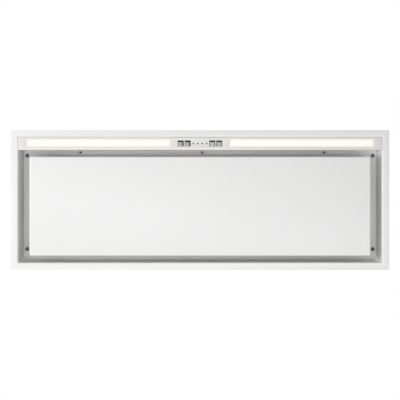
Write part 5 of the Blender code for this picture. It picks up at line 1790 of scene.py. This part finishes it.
# --- Studio -----------------------------------------------------------------------------------
@dataclass
class Studio:
    """The camera under the hood, the floor, the lights and the white surround."""

    distance: float = 1310 * MM
    frame_width: float = 951 * MM
    sensor: float = 36.0
    forward: float = 95 * MM
    floor_depth: float = 1500 * MM
    floor_size: float = 14.0
    surround: float = 1.0

    def build(self) -> None:
        """Sets the scene up."""
        scene = bpy.context.scene
        scene.view_settings.view_transform = "Standard"
        self.camera()
        self.floor()
        self.world()
        self.lamp("key", (-2.6, -0.1, -0.6), (0.25, 0.0, 0.0), (0.3, 0.9), 27.0)
        self.lamp("below", (-0.06, 0.24, -1.38), (0.0, 0.0, 0.0), (2.6, 0.24), 7.4)
        self.lamp("fill", (0.0, -0.1, -1.38), (0.0, -0.1, 0.0), (1.6, 0.5), 1.2)
        self.lamp("rear", (0.0, 1.5, -1.2), (0.0, 0.0, 0.0), (1.6, 0.8), 4.4)
        self.lamp("top", (-1.2, -1.2, 2.4), (0.0, 0.0, 0.2), (1.4, 1.4), 18.0)

    def camera(self) -> None:
        """A camera that looks straight up, with the hood's front at the top of the view."""
        data = bpy.data.cameras.new("view_from_below")
        data.sensor_width = self.sensor
        data.lens = self.sensor * self.distance / self.frame_width
        data.shift_y = -self.forward / self.frame_width
        camera = bpy.data.objects.new("view_from_below", data)
        camera.location = (0.0, -self.forward, -self.distance)
        camera.rotation_euler = (math.pi, 0.0, 0.0)
        bpy.context.scene.collection.objects.link(camera)
        bpy.context.scene.camera = camera

    def floor(self) -> None:
        """A plain pale floor below the camera."""
        bm = bmesh.new()
        bmesh.ops.create_grid(bm, x_segments=1, y_segments=1, size=self.floor_size / 2)
        mesh = bpy.data.meshes.new("floor")
        bm.to_mesh(mesh)
        bm.free()
        floor = bpy.data.objects.new("floor", mesh)
        floor.location.z = -self.floor_depth
        bpy.context.scene.collection.objects.link(floor)
        mesh.materials.append(FLOOR.material())
        floor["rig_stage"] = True

    def world(self) -> None:
        """An even white surround."""
        world = bpy.data.worlds.new("surround")
        world.use_nodes = True
        shader = world.node_tree.nodes["Background"]
        shader.inputs["Color"].default_value = (1, 1, 1, 1)
        shader.inputs["Strength"].default_value = self.surround
        bpy.context.scene.world = world

    def lamp(self, name: str, at: Sequence[float], aim: Sequence[float], size: Span, power: float) -> None:
        """A rectangular soft light.

        Args:
            name: The light's name.
            at: Where it stands.
            aim: The point that it faces.
            size: Its width and height.
            power: Its power in watts.
        """
        data = bpy.data.lights.new(name, "AREA")
        data.shape = "RECTANGLE"
        data.size, data.size_y = size
        data.energy = power
        lamp = bpy.data.objects.new(name, data)
        lamp.location = at
        lamp.rotation_mode = "QUATERNION"
        lamp.rotation_quaternion = (Vector(aim) - Vector(at)).to_track_quat("-Z", "Y")
        bpy.context.scene.collection.objects.link(lamp)


FLOOR = PowderCoat("studio_floor", Slot.LACQUER, (0.42, 0.42, 0.42), 0.7)


def corners(bounds: tuple[Vector, Vector]) -> list[list[float]]:
    """A box's two corners as plain lists."""
    return [list(corner) for corner in bounds]


def main() -> None:
    """Builds the hood's looks around the frame, then the studio."""
    logging.basicConfig(level=logging.INFO, format="%(name)s: %(message)s")
    for obj in list(bpy.data.objects):
        bpy.data.objects.remove(obj)
    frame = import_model()
    cad_box = corners(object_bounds())
    bench = Bench(frame)
    assemblies = (FrameRing, Recess, Header, Keys, Panel, Filters, Casings, Blower, Outlet, Electronics)
    for assembly in assemblies:
        LOG.info("building %s", assembly.__name__)
        assembly(bench).build()
    Studio().build()
    {"cad": cad_box, "visual": corners(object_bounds())}
    LOG.info("%d pieces", bench.count)


if __name__ == "__main__":
    main()
